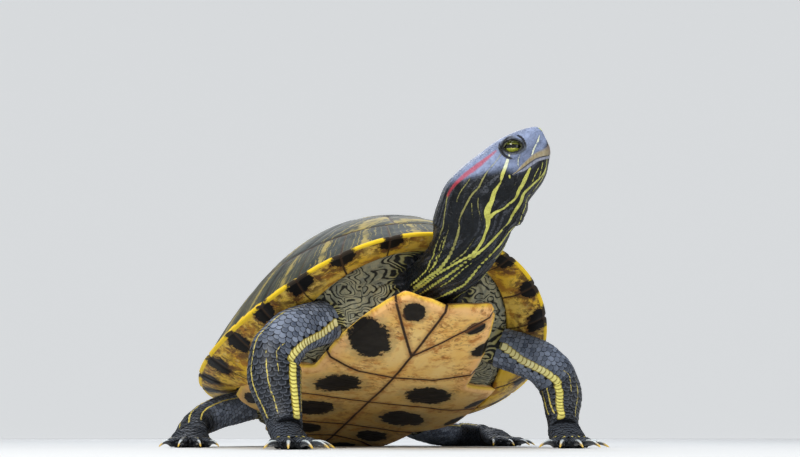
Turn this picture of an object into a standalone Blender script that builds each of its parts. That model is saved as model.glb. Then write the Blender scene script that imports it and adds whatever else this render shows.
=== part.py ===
"""A still, life-size model of an adult red-eared slider that props its front up on its forelegs, with its head raised and
turned to its left.

Metres, +Z up, with the floor at Z = 0. The turtle faces -Y and its left side is +X. The shell and trunk are made in the
shell's own frame (f forward, s to the left, h up, from the middle of the rim) and then tipped; the limbs, neck, head
and tail are lofted where they stand.
"""

from math import cos, pi, radians, sin

import bmesh
import bpy
import numpy as np
from mathutils import Matrix, Vector

# ---- driving dimensions
CARAPACE_LENGTH = 0.220
HALF_LENGTH = CARAPACE_LENGTH / 2
HALF_WIDTH = 0.385 * CARAPACE_LENGTH
DOME_HEIGHT = 0.062
FRONT_RIM_RISE = 0.012
SIDE_RIM_DROP = 0.014
REAR_RIM_DROP = 0.002
BONE = 0.0055
PLASTRON_DEPTH = 0.028
PLASTRON_FRONT = 0.098
PLASTRON_REAR = -0.090
PLASTRON_THICKNESS = 0.0045
FRONT_UPTURN = 0.0095
PITCH = radians(18.0)
LEAN = radians(6.0)
GAP = 0.0003
FLOOR_CUT = 0.0006
# Moves the whole turtle so that the middle of its box stands over the origin.
BOX_SHIFT = Vector((-0.0017, 0.0155, 0.0))

# ---- the head's own frame: origin on the middle line under the nape, x to the snout, y to the head's left, z to the crown
HEAD_ORIGIN = Vector((-0.001, -0.124, 0.1143))
HEAD_FORWARD = Vector((0.728, -0.405, 0.553)).normalized()
HEAD_LEFT = Vector((0.389, 0.908, 0.153)).normalized()
EYE_PLACE = (0.0229, 0.0096, 0.0062)
EYE_RADIUS = 0.0042
MOUTH_CORNER = (0.0180, -0.0038)
BEAK_TIP = (0.0365, -0.0052)

COLOURS = {
    "carapace": ((0.085, 0.10, 0.055, 1), 0.35),
    "plastron": ((0.80, 0.52, 0.16, 1), 0.30),
    "skin": ((0.045, 0.055, 0.045, 1), 0.50),
    "claw": ((0.45, 0.46, 0.40, 1), 0.40),
    "eye": ((0.30, 0.38, 0.06, 1), 0.10),
}


def clear_scene():
    for obj in list(bpy.data.objects):
        bpy.data.objects.remove(obj, do_unlink=True)


def material(slot):
    found = bpy.data.materials.get(slot)
    if found:
        return found
    made = bpy.data.materials.new(slot)
    made.use_nodes = True
    colour, roughness = COLOURS[slot]
    shader = made.node_tree.nodes["Principled BSDF"]
    shader.inputs["Base Color"].default_value = colour
    shader.inputs["Roughness"].default_value = roughness
    shader.inputs["Metallic"].default_value = 0.0
    return made


def object_from(name, bm, slot):
    bmesh.ops.recalc_face_normals(bm, faces=bm.faces)
    mesh = bpy.data.meshes.new(name)
    bm.to_mesh(mesh)
    bm.free()
    mesh.materials.append(material(slot))
    mesh.shade_smooth()
    mesh.set_sharp_from_angle(angle=radians(50))
    obj = bpy.data.objects.new(name, mesh)
    bpy.context.scene.collection.objects.link(obj)
    return obj


def helper(obj):
    obj.hide_render = True
    obj.display_type = "WIRE"
    return obj


def cut(obj, cutter, operation="DIFFERENCE"):
    """Applies a Boolean at once, so that the order of the cuts is plain."""
    modifier = obj.modifiers.new(operation.title(), "BOOLEAN")
    modifier.operation = operation
    modifier.object = cutter
    graph = bpy.context.evaluated_depsgraph_get()
    cut_mesh = bpy.data.meshes.new_from_object(obj.evaluated_get(graph))
    obj.modifiers.clear()
    obj.data = cut_mesh


def flatten_foot(bm, level=0.0):
    """Cuts away what is below the level and closes the cut with one flat face."""
    geometry = bm.verts[:] + bm.edges[:] + bm.faces[:]
    done = bmesh.ops.bisect_plane(
        bm, geom=geometry, plane_co=(0, 0, level), plane_no=(0, 0, -1), clear_outer=True, dist=1e-6
    )
    rim_edges = [part for part in done["geom_cut"] if isinstance(part, bmesh.types.BMEdge)]
    if rim_edges:
        bmesh.ops.edgeloop_fill(bm, edges=rim_edges)


# ---- the shell's own frame

SHELL_TURN = Matrix.Rotation(-PITCH, 4, "X") @ Matrix.Rotation(LEAN, 4, "Y")


def signed_power(value, exponent):
    return abs(value) ** exponent * (1 if value >= 0 else -1)


def rim(angle):
    """(f, s, h) of the shell's rim; 0 is the front and a quarter turn is the left side."""
    c, s = cos(angle), sin(angle)
    forward = HALF_LENGTH * signed_power(c, 0.95)
    side = HALF_WIDTH * signed_power(s, 0.9) * (1 - 0.06 * c)
    height = FRONT_RIM_RISE * max(c, 0) ** 2 - SIDE_RIM_DROP * s * s - REAR_RIM_DROP * max(-c, 0) ** 2
    return forward, side, height


def dome(angle, reach):
    """The outer surface, at a share of the way from the top to the rim."""
    forward, side, height = rim(angle)
    return forward * reach, side * reach, height * reach**4 + DOME_HEIGHT * (1 - reach**2.2)


def band(angle):
    """(inner reach, height) of the inner edge of the marginal plates' underside."""
    c, s = cos(angle), sin(angle)
    width = 0.017 * max(c, 0) ** 2 + 0.022 * s * s + 0.014 * max(-c, 0) ** 2
    fall = -0.0005 * max(c, 0) ** 2 - 0.010 * s**8 + 0.001 * max(-c, 0) ** 2
    forward, side, height = rim(angle)
    return 1 - width / Vector((forward, side)).length, height + fall


def lip_side(forward):
    """Half-width of the opening inside the marginal plates, at a place along the body."""
    angles = np.linspace(0.02, pi - 0.02, 200)
    along = [rim(a)[0] * band(a)[0] for a in angles]
    across = [rim(a)[1] * band(a)[0] for a in angles]
    return float(np.interp(forward, along[::-1], across[::-1]))


def plastron_half_width(forward):
    """Front lobe, bridge and hind lobe, from knots along the body."""
    bridge = lip_side(forward) - GAP
    knots = (
        (PLASTRON_REAR, 0.014),
        (-0.084, 0.024),
        (-0.070, 0.036),
        (-0.052, 0.041),
        (-0.042, 0.042),
        (-0.035, bridge),
        (0.018, bridge),
        (0.026, 0.041),
        (0.036, 0.040),
        (0.055, 0.0375),
        (0.075, 0.032),
        (0.090, 0.027),
        (0.0955, 0.024),
        (PLASTRON_FRONT, 0.0205),
    )
    return float(np.interp(forward, [k[0] for k in knots], [k[1] for k in knots]))


def plastron_bottom(forward, side):
    height = -PLASTRON_DEPTH
    height += FRONT_UPTURN * max(0, (forward - 0.015) / (PLASTRON_FRONT - 0.015)) ** 1.5
    height += 0.004 * max(0, (-forward - 0.060) / 0.030) ** 2
    front_share = min(1, max(0, (forward - 0.03) / 0.05))
    height += 0.0030 * (side / 0.030) ** 2 * front_share
    return height + 0.0042 * max(0, (abs(side) - 0.040) / 0.022) ** 1.5


def place(forward, side, height):
    return SHELL_TURN @ Vector((side, -forward, height))


LOWEST = min(place(-0.079, s, plastron_bottom(-0.079, s)).z for s in (-0.025, 0, 0.025))
SHELL_LIFT = Vector((0, 0, -LOWEST - FLOOR_CUT))


def shell_point(forward, side, height):
    return place(forward, side, height) + SHELL_LIFT


def turned_skin(bm, profiles, closed_ends=True):
    """Joins profiles, one for each angle round the shell, whose first and last points all meet in one."""
    start = bm.verts.new(profiles[0][0])
    end = bm.verts.new(profiles[0][-1])
    rows = [[bm.verts.new(p) for p in profile[1:-1]] for profile in profiles]
    for here, beyond in zip(rows, rows[1:] + rows[:1]):
        bm.faces.new((start, here[0], beyond[0]))
        for i in range(len(here) - 1):
            bm.faces.new((here[i], here[i + 1], beyond[i + 1], beyond[i]))
        bm.faces.new((here[-1], end, beyond[-1]))


def make_carapace():
    profiles = []
    turns = 40
    for k in range(turns):
        angle = 2 * pi * k / turns
        forward, side, height = rim(angle)
        inner_reach, inner_height = band(angle)
        outer = [dome(angle, r) for r in (0, 0.18, 0.36, 0.52, 0.66, 0.78, 0.87, 0.94, 0.985)]
        edge = [(forward, side, height - 0.0004)]
        edge.append((forward * 0.985, side * 0.985, height - 0.0016))
        under = [(forward * inner_reach, side * inner_reach, inner_height)]
        wall = [(forward * inner_reach, side * inner_reach, inner_height + 0.008)]
        inner = []
        for share in (0.94, 0.75, 0.5, 0.25, 0):
            f, s, h = dome(angle, inner_reach * share)
            inner.append((f, s, h - BONE - 0.002 * share))
        profiles.append([shell_point(*p) for p in outer + edge + under + wall + inner])
    bm = bmesh.new()
    turned_skin(bm, profiles)
    return object_from("carapace", bm, "carapace")


def make_plastron():
    """A plate of two height fields, with a rounded edge along its outline."""
    along = [PLASTRON_REAR, -0.087, -0.080, -0.070, -0.060, -0.052, -0.044, -0.0415, -0.036, -0.025, -0.012]
    along += [0.0, 0.010, 0.0185, 0.0255, 0.034, 0.045, 0.055, 0.066, 0.077, 0.086, 0.0925, 0.0962, PLASTRON_FRONT]
    across = np.array([-1, -0.965, -0.86, -0.66, -0.42, -0.2, 0, 0.2, 0.42, 0.66, 0.86, 0.965, 1])
    bm = bmesh.new()
    lower, upper = [], []
    for forward in along:
        half = plastron_half_width(forward)
        row_low, row_high = [], []
        for t in across:
            side = half * t
            notch = 0.0028 * max(0, 1 - abs(side) / 0.008)
            f = forward - notch * max(0, forward - 0.08) / 0.018 + 2 * notch * max(0, -forward - 0.075) / 0.015
            base = plastron_bottom(forward, side)
            at_edge = abs(t) == 1 or forward in (along[0], along[-1])
            near_edge = abs(t) > 0.9
            low = base + (0.0014 if at_edge else 0.0003 if near_edge else 0)
            high = base + PLASTRON_THICKNESS - (0.0010 if at_edge else 0.0002 if near_edge else 0)
            row_low.append(bm.verts.new(shell_point(f, side, low)))
            row_high.append(bm.verts.new(shell_point(f, side, high)))
        lower.append(row_low)
        upper.append(row_high)
    last = len(across) - 1
    for i in range(len(along) - 1):
        for j in range(last):
            bm.faces.new((lower[i][j], lower[i][j + 1], lower[i + 1][j + 1], lower[i + 1][j]))
            bm.faces.new((upper[i][j], upper[i + 1][j], upper[i + 1][j + 1], upper[i][j + 1]))
        for j in (0, last):
            bm.faces.new((lower[i][j], lower[i + 1][j], upper[i + 1][j], upper[i][j]))
    for i in (0, len(along) - 1):
        for j in range(last):
            bm.faces.new((lower[i][j], upper[i][j], upper[i][j + 1], lower[i][j + 1]))
    bmesh.ops.recalc_face_normals(bm, faces=bm.faces)
    flatten_foot(bm)
    return object_from("plastron", bm, "plastron")


def make_trunk():
    """The soft body, which fills the shell and closes its front and rear openings a little way inside the rim."""
    turns = 36
    profiles = []
    for k in range(turns):
        angle = 2 * pi * k / turns
        c = cos(angle)
        forward, side, _ = rim(angle)
        inner_reach, inner_height = band(angle)
        setback = 0.020 + 0.13 * max(0, c) ** 1.5 + 0.10 * max(0, -c) ** 1.5
        wall_reach = inner_reach - 0.020
        foot_reach = inner_reach - 0.028 - setback
        points = []
        for share in (0, 0.3, 0.55, 0.8, 1.0):
            reach = wall_reach * share * 0.93
            f, s, h = dome(angle, reach)
            points.append((f, s, h - BONE - 0.0040))
        points.append((forward * wall_reach, side * wall_reach, inner_height + 0.0075))
        points.append((forward * wall_reach, side * wall_reach, inner_height + 0.0030))
        for share in (1.0, 0.8, 0.5, 0):
            f, s = forward * foot_reach * share, side * foot_reach * share
            points.append((f, s, plastron_bottom(f, s) + PLASTRON_THICKNESS + 0.0014))
        profiles.append([shell_point(*p) for p in points])
    bm = bmesh.new()
    turned_skin(bm, profiles)
    return object_from("trunk", bm, "skin")


# ---- lofts


def smooth(stations, count):
    """Points on a Catmull-Rom curve through rows of numbers."""
    rows = np.array(stations, float)
    padded = np.vstack([2 * rows[0] - rows[1], rows, 2 * rows[-1] - rows[-2]])
    made = []
    for t in np.linspace(0, len(rows) - 1, count):
        i = min(int(t), len(rows) - 2)
        u = t - i
        a, b, c, d = padded[i : i + 4]
        made.append(
            0.5 * (2 * b + (c - a) * u + (2 * a - 5 * b + 4 * c - d) * u * u + (3 * b - a - 3 * c + d) * u**3)
        )
    return np.array(made)


def ring(centre, across, upward, half_width, up, down, sides, squareness=1.0):
    """A closed outline round a centre, with its own reach above and below."""
    points = []
    for k in range(sides):
        angle = 2 * pi * k / sides
        x, z = signed_power(cos(angle), squareness), signed_power(sin(angle), squareness)
        points.append(centre + across * (half_width * x) + upward * ((up if z > 0 else down) * z))
    return points


def loft(rings):
    bm = bmesh.new()
    rows = [[bm.verts.new(p) for p in points] for points in rings]
    for here, beyond in zip(rows, rows[1:]):
        for i in range(len(here)):
            j = (i + 1) % len(here)
            bm.faces.new((here[i], here[j], beyond[j], beyond[i]))
    bm.faces.new(rows[0])
    bm.faces.new(rows[-1])
    return bm


def limb_rings(stations, top_side, rings, sides, grow=0.0):
    """Rings along a limb whose stations are (x, y, z, half width, half thickness)."""
    rows = smooth(stations, rings)
    centres = [Vector(row[:3]) for row in rows]
    made = []
    for i, row in enumerate(rows):
        along = (centres[min(i + 1, rings - 1)] - centres[max(i - 1, 0)]).normalized()
        across = along.cross(Vector(top_side)).normalized()
        upward = across.cross(along).normalized()
        made.append(ring(centres[i], across, upward, row[3] + grow, row[4] + grow, row[4] + grow, sides))
    return made


def trimmed(rings, start=0.0, end=0.0):
    """Moves the first and last ring inwards along the limb, which leaves the gap between two lengths."""
    made = [list(r) for r in rings]
    for at, beside, distance in ((0, 1, start), (-1, -2, end)):
        step = sum((b - a for a, b in zip(made[at], made[beside])), Vector()) / len(made[at])
        made[at] = [p + step.normalized() * distance for p in made[at]]
    return made


# Each limb: root inside the shell, joint, joint, foot. (x, y, z, half width, half thickness)
FORELEGS = {
    "right": {
        "top": (-0.2, -1.0, 0.25),
        "upper": (
            (-0.0330, -0.0460, 0.0630, 0.0105, 0.0085),
            (-0.0470, -0.0540, 0.0590, 0.0105, 0.0085),
            (-0.0640, -0.0600, 0.0530, 0.0112, 0.0090),
            (-0.0735, -0.0625, 0.0420, 0.0118, 0.0090),
        ),
        "lower": (
            (-0.0735, -0.0625, 0.0420, 0.0118, 0.0090),
            (-0.0740, -0.0655, 0.0310, 0.0120, 0.0078),
            (-0.0722, -0.0680, 0.0210, 0.0100, 0.0066),
            (-0.0710, -0.0705, 0.0130, 0.0083, 0.0062),
        ),
        "palm": (-0.0703, -0.0755, 0.0058),
        "heading": radians(-78),
    },
    "left": {
        "top": (0.25, -1.0, 0.25),
        "upper": (
            (0.0330, -0.0480, 0.0540, 0.0105, 0.0085),
            (0.0470, -0.0590, 0.0485, 0.0105, 0.0085),
            (0.0625, -0.0665, 0.0420, 0.0112, 0.0088),
            (0.0710, -0.0680, 0.0335, 0.0116, 0.0088),
        ),
        "lower": (
            (0.0710, -0.0680, 0.0335, 0.0116, 0.0088),
            (0.0725, -0.0700, 0.0255, 0.0114, 0.0078),
            (0.0715, -0.0715, 0.0185, 0.0098, 0.0066),
            (0.0705, -0.0740, 0.0125, 0.0083, 0.0062),
        ),
        "palm": (0.0698, -0.0790, 0.0058),
        "heading": radians(-98),
    },
}

HINDLEGS = {
    "right": {
        "top": (-0.5, 0.3, 1.0),
        "upper": (
            (-0.0380, 0.0470, 0.0280, 0.0120, 0.0080),
            (-0.0500, 0.0520, 0.0225, 0.0125, 0.0080),
            (-0.0640, 0.0540, 0.0190, 0.0120, 0.0082),
            (-0.0740, 0.0530, 0.0150, 0.0110, 0.0078),
        ),
        "lower": (
            (-0.0740, 0.0530, 0.0150, 0.0110, 0.0078),
            (-0.0800, 0.0500, 0.0115, 0.0100, 0.0070),
            (-0.0835, 0.0450, 0.0090, 0.0092, 0.0060),
            (-0.0855, 0.0390, 0.0068, 0.0090, 0.0052),
        ),
        "palm": (-0.0870, 0.0330, 0.0048),
        "heading": radians(-104),
    },
    "left": {
        "top": (0.5, 0.3, 1.0),
        "upper": (
            (0.0400, 0.0500, 0.0160, 0.0120, 0.0070),
            (0.0520, 0.0555, 0.0105, 0.0125, 0.0062),
            (0.0650, 0.0590, 0.0072, 0.0118, 0.0058),
            (0.0750, 0.0590, 0.0064, 0.0108, 0.0056),
        ),
        "lower": (
            (0.0750, 0.0590, 0.0064, 0.0108, 0.0056),
            (0.0820, 0.0560, 0.0062, 0.0100, 0.0056),
            (0.0865, 0.0510, 0.0058, 0.0092, 0.0053),
            (0.0895, 0.0450, 0.0054, 0.0090, 0.0050),
        ),
        "palm": (0.0915, 0.0390, 0.0048),
        "heading": radians(-76),
    },
}

FORE_TOES = (-62, -31, -3, 24, 52)
HIND_TOES = (-44, -15, 12, 38)


def make_limb(name, limb, foot_size):
    """The three lengths of a leg, and its claws."""
    upper = limb_rings(limb["upper"], limb["top"], 7, 14)
    lower = limb_rings(limb["lower"], limb["top"], 7, 14)
    lower[0] = upper[-1]
    for label, rings in (("upper", trimmed(upper, 0, GAP / 2)), ("lower", trimmed(lower, GAP / 2, GAP / 2))):
        bm = loft(rings)
        bmesh.ops.recalc_face_normals(bm, faces=bm.faces)
        flatten_foot(bm)
        object_from(f"{name}_{label}", bm, "skin")
    make_foot(name, limb, lower[-1], foot_size)
    return upper


def make_foot(name, limb, wrist, size):
    """A webbed palm that starts at the wrist, with toes that the web joins at their roots."""
    palm = Vector(limb["palm"])
    heading = limb["heading"]
    ahead = Vector((cos(heading), sin(heading), 0))
    aside = Vector((-ahead.y, ahead.x, 0))
    centre = sum(wrist, Vector()) / len(wrist)
    wrist = trimmed([wrist, [p + (palm - centre) for p in wrist]], GAP / 2, 0)[0]
    rows = [wrist]
    for reach, half, tall, height in size["palm_rows"]:
        middle = Vector((palm.x, palm.y, height)) + ahead * reach
        rows.append(aligned_ring(wrist, middle, aside, half, tall))
    bm = loft(rows)
    foot = object_from(f"{name}_foot", bm, "skin")
    for number, degrees in enumerate(size["toes"], start=1):
        direction = heading + radians(degrees)
        along = Vector((cos(direction), sin(direction), 0))
        root = palm + along * size["root"]
        root.z = size["toe_height"] + 0.0005
        length = size["toe_lengths"][number - 1]
        tip = root + along * length
        tip.z = size["toe_height"]
        toe = toe_solid(root, tip, size["toe_radius"])
        cut(foot, toe, "UNION")
        bpy.data.objects.remove(toe, do_unlink=True)
        make_claw(f"{name}_claw_{number}", tip, along, size["claw"], size["claw_radius"])
    bm = bmesh.new()
    bm.from_mesh(foot.data)
    bpy.data.objects.remove(foot, do_unlink=True)
    flatten_foot(bm)
    bmesh.ops.dissolve_degenerate(bm, edges=bm.edges, dist=2e-5)
    bmesh.ops.triangulate(bm, faces=bm.faces)
    object_from(f"{name}_foot", bm, "skin")


def aligned_ring(like, centre, aside, half, tall):
    """A flat oval ring whose points pair up with those of the ring before it."""
    middle = sum(like, Vector()) / len(like)
    sideways = sum(((p - middle) * (p - middle).dot(aside) for p in like), Vector()).normalized()
    upward = (like[len(like) // 4] - middle).normalized()
    made = []
    for p in like:
        x, z = (p - middle).dot(sideways), (p - middle).dot(upward)
        angle = np.arctan2(z, x)
        made.append(centre + aside * (half * cos(angle)) + Vector((0, 0, tall * sin(angle))))
    return made


def toe_solid(root, tip, radius):
    along = (tip - root).normalized()
    across = along.cross(Vector((0, 0, 1))).normalized()
    upward = across.cross(along)
    rings = []
    for share, size in ((-0.35, 0.75), (0.1, 1.0), (0.7, 1.02), (1.0, 0.70)):
        rings.append(ring(root.lerp(tip, share), across, upward, radius * size, radius * size, radius * size, 8))
    bm = loft(rings)
    return helper(object_from("toe_cutter", bm, "skin"))


def make_claw(name, start, along, length, radius):
    """A curved, tapered claw that starts just off its toe and comes down to the floor."""
    across = along.cross(Vector((0, 0, 1))).normalized()
    base = start + along * GAP
    rings = []
    for share in (0.0, 0.35, 0.7, 1.0):
        drop = (start.z - 0.0007) * share**1.6
        arch = 0.0009 * sin(pi * share)
        centre = base + along * (length * share) + Vector((0, 0, arch - drop))
        size = radius * (1 - 0.80 * share**1.4)
        slope = Vector((0, 0, 1))
        rings.append(ring(centre, across, slope, size * 0.85, size, size, 6))
    object_from(name, loft(rings), "claw")


FORE_FOOT = {
    "palm_rows": (
        (-0.0020, 0.0086, 0.0050, 0.0072),
        (0.0030, 0.0088, 0.0042, 0.0038),
        (0.0070, 0.0082, 0.0030, 0.0027),
        (0.0090, 0.0060, 0.0018, 0.0022),
    ),
    "toes": FORE_TOES,
    "root": 0.0060,
    "toe_height": 0.0024,
    "toe_lengths": (0.0050, 0.0062, 0.0068, 0.0062, 0.0050),
    "toe_radius": 0.0027,
    "claw": 0.0100,
    "claw_radius": 0.00165,
}

HIND_FOOT = {
    "palm_rows": (
        (-0.0010, 0.0092, 0.0046, 0.0052),
        (0.0045, 0.0100, 0.0036, 0.0033),
        (0.0095, 0.0098, 0.0026, 0.0023),
        (0.0120, 0.0070, 0.0016, 0.0020),
    ),
    "toes": HIND_TOES,
    "root": 0.0090,
    "toe_height": 0.0023,
    "toe_lengths": (0.0062, 0.0076, 0.0078, 0.0066),
    "toe_radius": 0.0026,
    "claw": 0.0075,
    "claw_radius": 0.00145,
}


# ---- neck and head

NECK = (
    # x, y, z, half width, half depth
    (0.0000, -0.0620, 0.0700, 0.0150, 0.0105),
    (-0.0005, -0.0780, 0.0765, 0.0148, 0.0110),
    (-0.0008, -0.0935, 0.0810, 0.0142, 0.0120),
    (-0.0014, -0.1080, 0.0858, 0.0140, 0.0138),
    (-0.0014, -0.1168, 0.0930, 0.0148, 0.0160),
    (-0.0010, -0.1212, 0.0990, 0.0158, 0.0182),
)
HEAD_ROWS = (
    # along, tilt of the row in degrees, half width, up, down, middle height
    (-0.0037, 30, 0.0165, 0.0140, 0.0238, -0.0037),
    (0.0022, 22, 0.0172, 0.0140, 0.0225, -0.0022),
    (0.0084, 16, 0.0174, 0.0140, 0.0200, -0.0017),
    (0.0133, 12, 0.0168, 0.0136, 0.0169, -0.0013),
    (0.0190, 9, 0.0152, 0.0144, 0.0146, -0.0018),
    (0.0250, 4, 0.0130, 0.0135, 0.0132, -0.0014),
    (0.0300, 0, 0.0108, 0.0120, 0.0112, -0.0010),
    (0.0340, -3, 0.0086, 0.0096, 0.0088, 0.0000),
    (0.0370, -6, 0.0062, 0.0070, 0.0068, 0.0012),
    (0.0386, -8, 0.0040, 0.0044, 0.0048, 0.0022),
)


def head_axes():
    forward = HEAD_FORWARD
    left = (HEAD_LEFT - forward * HEAD_LEFT.dot(forward)).normalized()
    return forward, left, forward.cross(left)


def head_point(x, y, z):
    forward, left, upward = head_axes()
    return HEAD_ORIGIN + forward * x + left * y + upward * z


def neck_and_head_rings(sides):
    """Rings from inside the shell to the snout; the neck's back turns from facing the shell to facing the crown."""
    forward, left, upward = head_axes()
    rows = smooth(NECK, 8)
    centres = [Vector(row[:3]) for row in rows]
    head_rings = []
    for along, tilt, half, up, down, middle in HEAD_ROWS:
        lean = radians(tilt)
        row_up = upward * cos(lean) - forward * sin(lean)
        centre = head_point(along, 0, middle)
        head_rings.append(ring(centre, left, row_up, half, up, down, sides, 0.9))
    neck_rings = []
    for i, row in enumerate(rows):
        ahead = centres[i + 1] if i + 1 < len(centres) else head_point(-0.0037, 0, -0.0037)
        along = (ahead - centres[max(i - 1, 0)]).normalized()
        share = i / (len(rows) - 1)
        blend = max(0.0, (share - 0.15) / 0.85) ** 1.2
        base_left = Vector((1, 0, 0))
        lateral = base_left.lerp(left, blend)
        lateral = (lateral - along * lateral.dot(along)).normalized()
        back = along.cross(lateral)
        neck_rings.append(ring(centres[i], lateral, back, row[3], row[4], row[4], sides, 0.95))
    return neck_rings, head_rings


def make_neck_and_head():
    neck_rings, head_rings = neck_and_head_rings(20)
    joint = 1
    neck_all = neck_rings + head_rings[: joint + 1]
    neck = object_from("neck", loft(trimmed(neck_all, 0, GAP / 2)), "skin")
    head = object_from("head", loft(trimmed(head_rings[joint:], GAP / 2, 0)), "skin")
    jaw = object_from("lower_jaw", loft(trimmed(head_rings[joint:], GAP / 2, 0)), "skin")
    split_jaw(head, jaw)
    make_eyes(head)
    return neck, neck_rings


def split_jaw(head, jaw):
    """Parts the head along the mouth line, from the beak to the corner of the mouth and down behind it."""
    behind = (MOUTH_CORNER[0] + 0.0035, -0.040)
    for obj, grow in ((head, GAP), (jaw, 0.0)):
        tip = (0.060, BEAK_TIP[1] + (0.060 - BEAK_TIP[0]) * 0.05 + grow)
        corner = (MOUTH_CORNER[0] - grow, MOUTH_CORNER[1] + grow)
        foot = (behind[0] - grow - 0.010, behind[1])
        outline = (tip, corner, foot, (0.060, -0.040))
        bm = bmesh.new()
        sides = []
        for y in (-0.05, 0.05):
            sides.append([bm.verts.new(head_point(x, y, z)) for x, z in outline])
        bm.faces.new(sides[0])
        bm.faces.new(sides[1])
        for i in range(len(outline)):
            j = (i + 1) % len(outline)
            bm.faces.new((sides[0][i], sides[0][j], sides[1][j], sides[1][i]))
        wedge = helper(object_from("jaw_cutter", bm, "skin"))
        cut(obj, wedge, "DIFFERENCE" if obj is head else "INTERSECT")
        bpy.data.objects.remove(wedge, do_unlink=True)


def ball(name, centre, radius, slot):
    bm = bmesh.new()
    bmesh.ops.create_icosphere(bm, subdivisions=2, radius=radius, matrix=Matrix.Translation(centre))
    return object_from(name, bm, slot)


def make_eyes(head):
    x, y, z = EYE_PLACE
    for side, sign in (("left", 1), ("right", -1)):
        centre = head_point(x, sign * (y - 0.0020), z)
        socket = helper(ball("socket_cutter", centre, EYE_RADIUS + GAP, "skin"))
        cut(head, socket)
        bpy.data.objects.remove(socket, do_unlink=True)
        ball(f"eye_{side}", centre, EYE_RADIUS, "eye")


TAIL = (
    # x, y, z, half width, half depth
    (-0.0010, 0.0620, 0.0240, 0.0110, 0.0080),
    (-0.0015, 0.0780, 0.0175, 0.0095, 0.0075),
    (-0.0050, 0.0930, 0.0105, 0.0066, 0.0056),
    (-0.0115, 0.1050, 0.0046, 0.0040, 0.0036),
    (-0.0195, 0.1140, 0.0014, 0.0016, 0.0016),
)


def grown_copy(obj, distance):
    """A copy whose surface stands a little proud, for cutting its neighbours clear of it."""
    bm = bmesh.new()
    bm.from_mesh(obj.data)
    bm.normal_update()
    moves = [v.normal * distance for v in bm.verts]
    for vertex, move in zip(bm.verts, moves):
        vertex.co += move
    return helper(object_from("shell_cutter", bm, "skin"))


def clear_of_shell(shell, names):
    """Presses the soft parts back where the shell's edges dent them."""
    for bone in shell:
        cutter = grown_copy(bone, GAP * 1.2)
        for name in names:
            cut(bpy.data.objects[name], cutter)
        bpy.data.objects.remove(cutter, do_unlink=True)


def open_sockets(trunk, roots):
    """Cuts the trunk clear of everything that grows out of it."""
    for rings in roots:
        socket = helper(object_from("root_cutter", loft(rings), "skin"))
        cut(trunk, socket)
        bpy.data.objects.remove(socket, do_unlink=True)


def grown(rings, distance):
    made = []
    for points in rings:
        centre = sum(points, Vector()) / len(points)
        made.append([p + (p - centre).normalized() * distance for p in points])
    return trimmed(made, -distance, -distance)


def main():
    clear_scene()
    shell = [make_carapace(), make_plastron()]
    trunk = make_trunk()
    _, neck_rings = make_neck_and_head()
    roots = [neck_rings]
    for side, limb in FORELEGS.items():
        roots.append(make_limb(f"foreleg_{side}", limb, FORE_FOOT))
    for side, limb in HINDLEGS.items():
        roots.append(make_limb(f"hindleg_{side}", limb, HIND_FOOT))
    tail_rings = limb_rings(TAIL, (0, 0, 1), 9, 12)
    bm = loft(tail_rings)
    bmesh.ops.recalc_face_normals(bm, faces=bm.faces)
    flatten_foot(bm)
    object_from("tail", bm, "skin")
    roots.append(tail_rings)
    open_sockets(trunk, [grown(rings, GAP * 1.6) for rings in roots])
    uppers = [f"{leg}_{side}_upper" for leg in ("foreleg", "hindleg") for side in ("left", "right")]
    clear_of_shell(shell, ["neck", "tail", "trunk"] + uppers)
    for obj in bpy.data.objects:
        obj.location = BOX_SHIFT


main()
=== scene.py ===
"""The looks of a still, life-size red-eared slider: shell plates, skin, limb scales, eyes, beak and claws.

Metres, +Z up, floor at Z = 0; the turtle faces -Y and its left side is +X. The shell is shaped in its own
frame (f forward, s to the left, h up, from the middle of the rim) and then tipped, as the solids are.
"""

from math import cos, pi, radians, sin

import bmesh
import bpy
import numpy as np
from mathutils import Matrix, Vector
from mathutils.bvhtree import BVHTree
from mathutils.kdtree import KDTree


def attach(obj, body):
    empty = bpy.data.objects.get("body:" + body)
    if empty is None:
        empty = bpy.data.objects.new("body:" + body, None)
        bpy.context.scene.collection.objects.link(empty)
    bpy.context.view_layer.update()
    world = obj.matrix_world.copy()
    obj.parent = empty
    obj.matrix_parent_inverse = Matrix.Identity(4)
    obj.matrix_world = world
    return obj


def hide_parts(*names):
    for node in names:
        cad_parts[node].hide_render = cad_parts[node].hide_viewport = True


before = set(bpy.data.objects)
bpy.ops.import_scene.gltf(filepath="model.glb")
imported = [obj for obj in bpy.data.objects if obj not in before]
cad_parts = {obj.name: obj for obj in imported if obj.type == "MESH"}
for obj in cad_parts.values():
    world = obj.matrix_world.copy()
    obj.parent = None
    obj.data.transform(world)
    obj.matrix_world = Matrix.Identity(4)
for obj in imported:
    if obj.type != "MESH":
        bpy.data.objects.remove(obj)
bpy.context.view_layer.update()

MM = 0.001
MILLI = 1000.0

# ---- the solids' driving dimensions, repeated here
HALF_LENGTH = 0.110
HALF_WIDTH = 0.0847
DOME_HEIGHT = 0.062
FRONT_RIM_RISE = 0.012
SIDE_RIM_DROP = 0.014
REAR_RIM_DROP = 0.002
BONE = 0.0055
PLASTRON_DEPTH = 0.028
PLASTRON_FRONT = 0.098
PLASTRON_REAR = -0.090
PLASTRON_THICKNESS = 0.0045
FRONT_UPTURN = 0.0095
FLOOR_CUT = 0.0006
BOX_SHIFT = np.array([-0.0017, 0.0155, 0.0])
PITCH = radians(18.0)
LEAN = radians(6.0)
HEAD_ORIGIN = Vector((-0.001, -0.124, 0.1143))
HEAD_FORWARD = Vector((0.728, -0.405, 0.553)).normalized()
HEAD_LEFT = Vector((0.389, 0.908, 0.153)).normalized()
HEAD_LEFT = (HEAD_LEFT - HEAD_FORWARD * HEAD_LEFT.dot(HEAD_FORWARD)).normalized()
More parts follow.
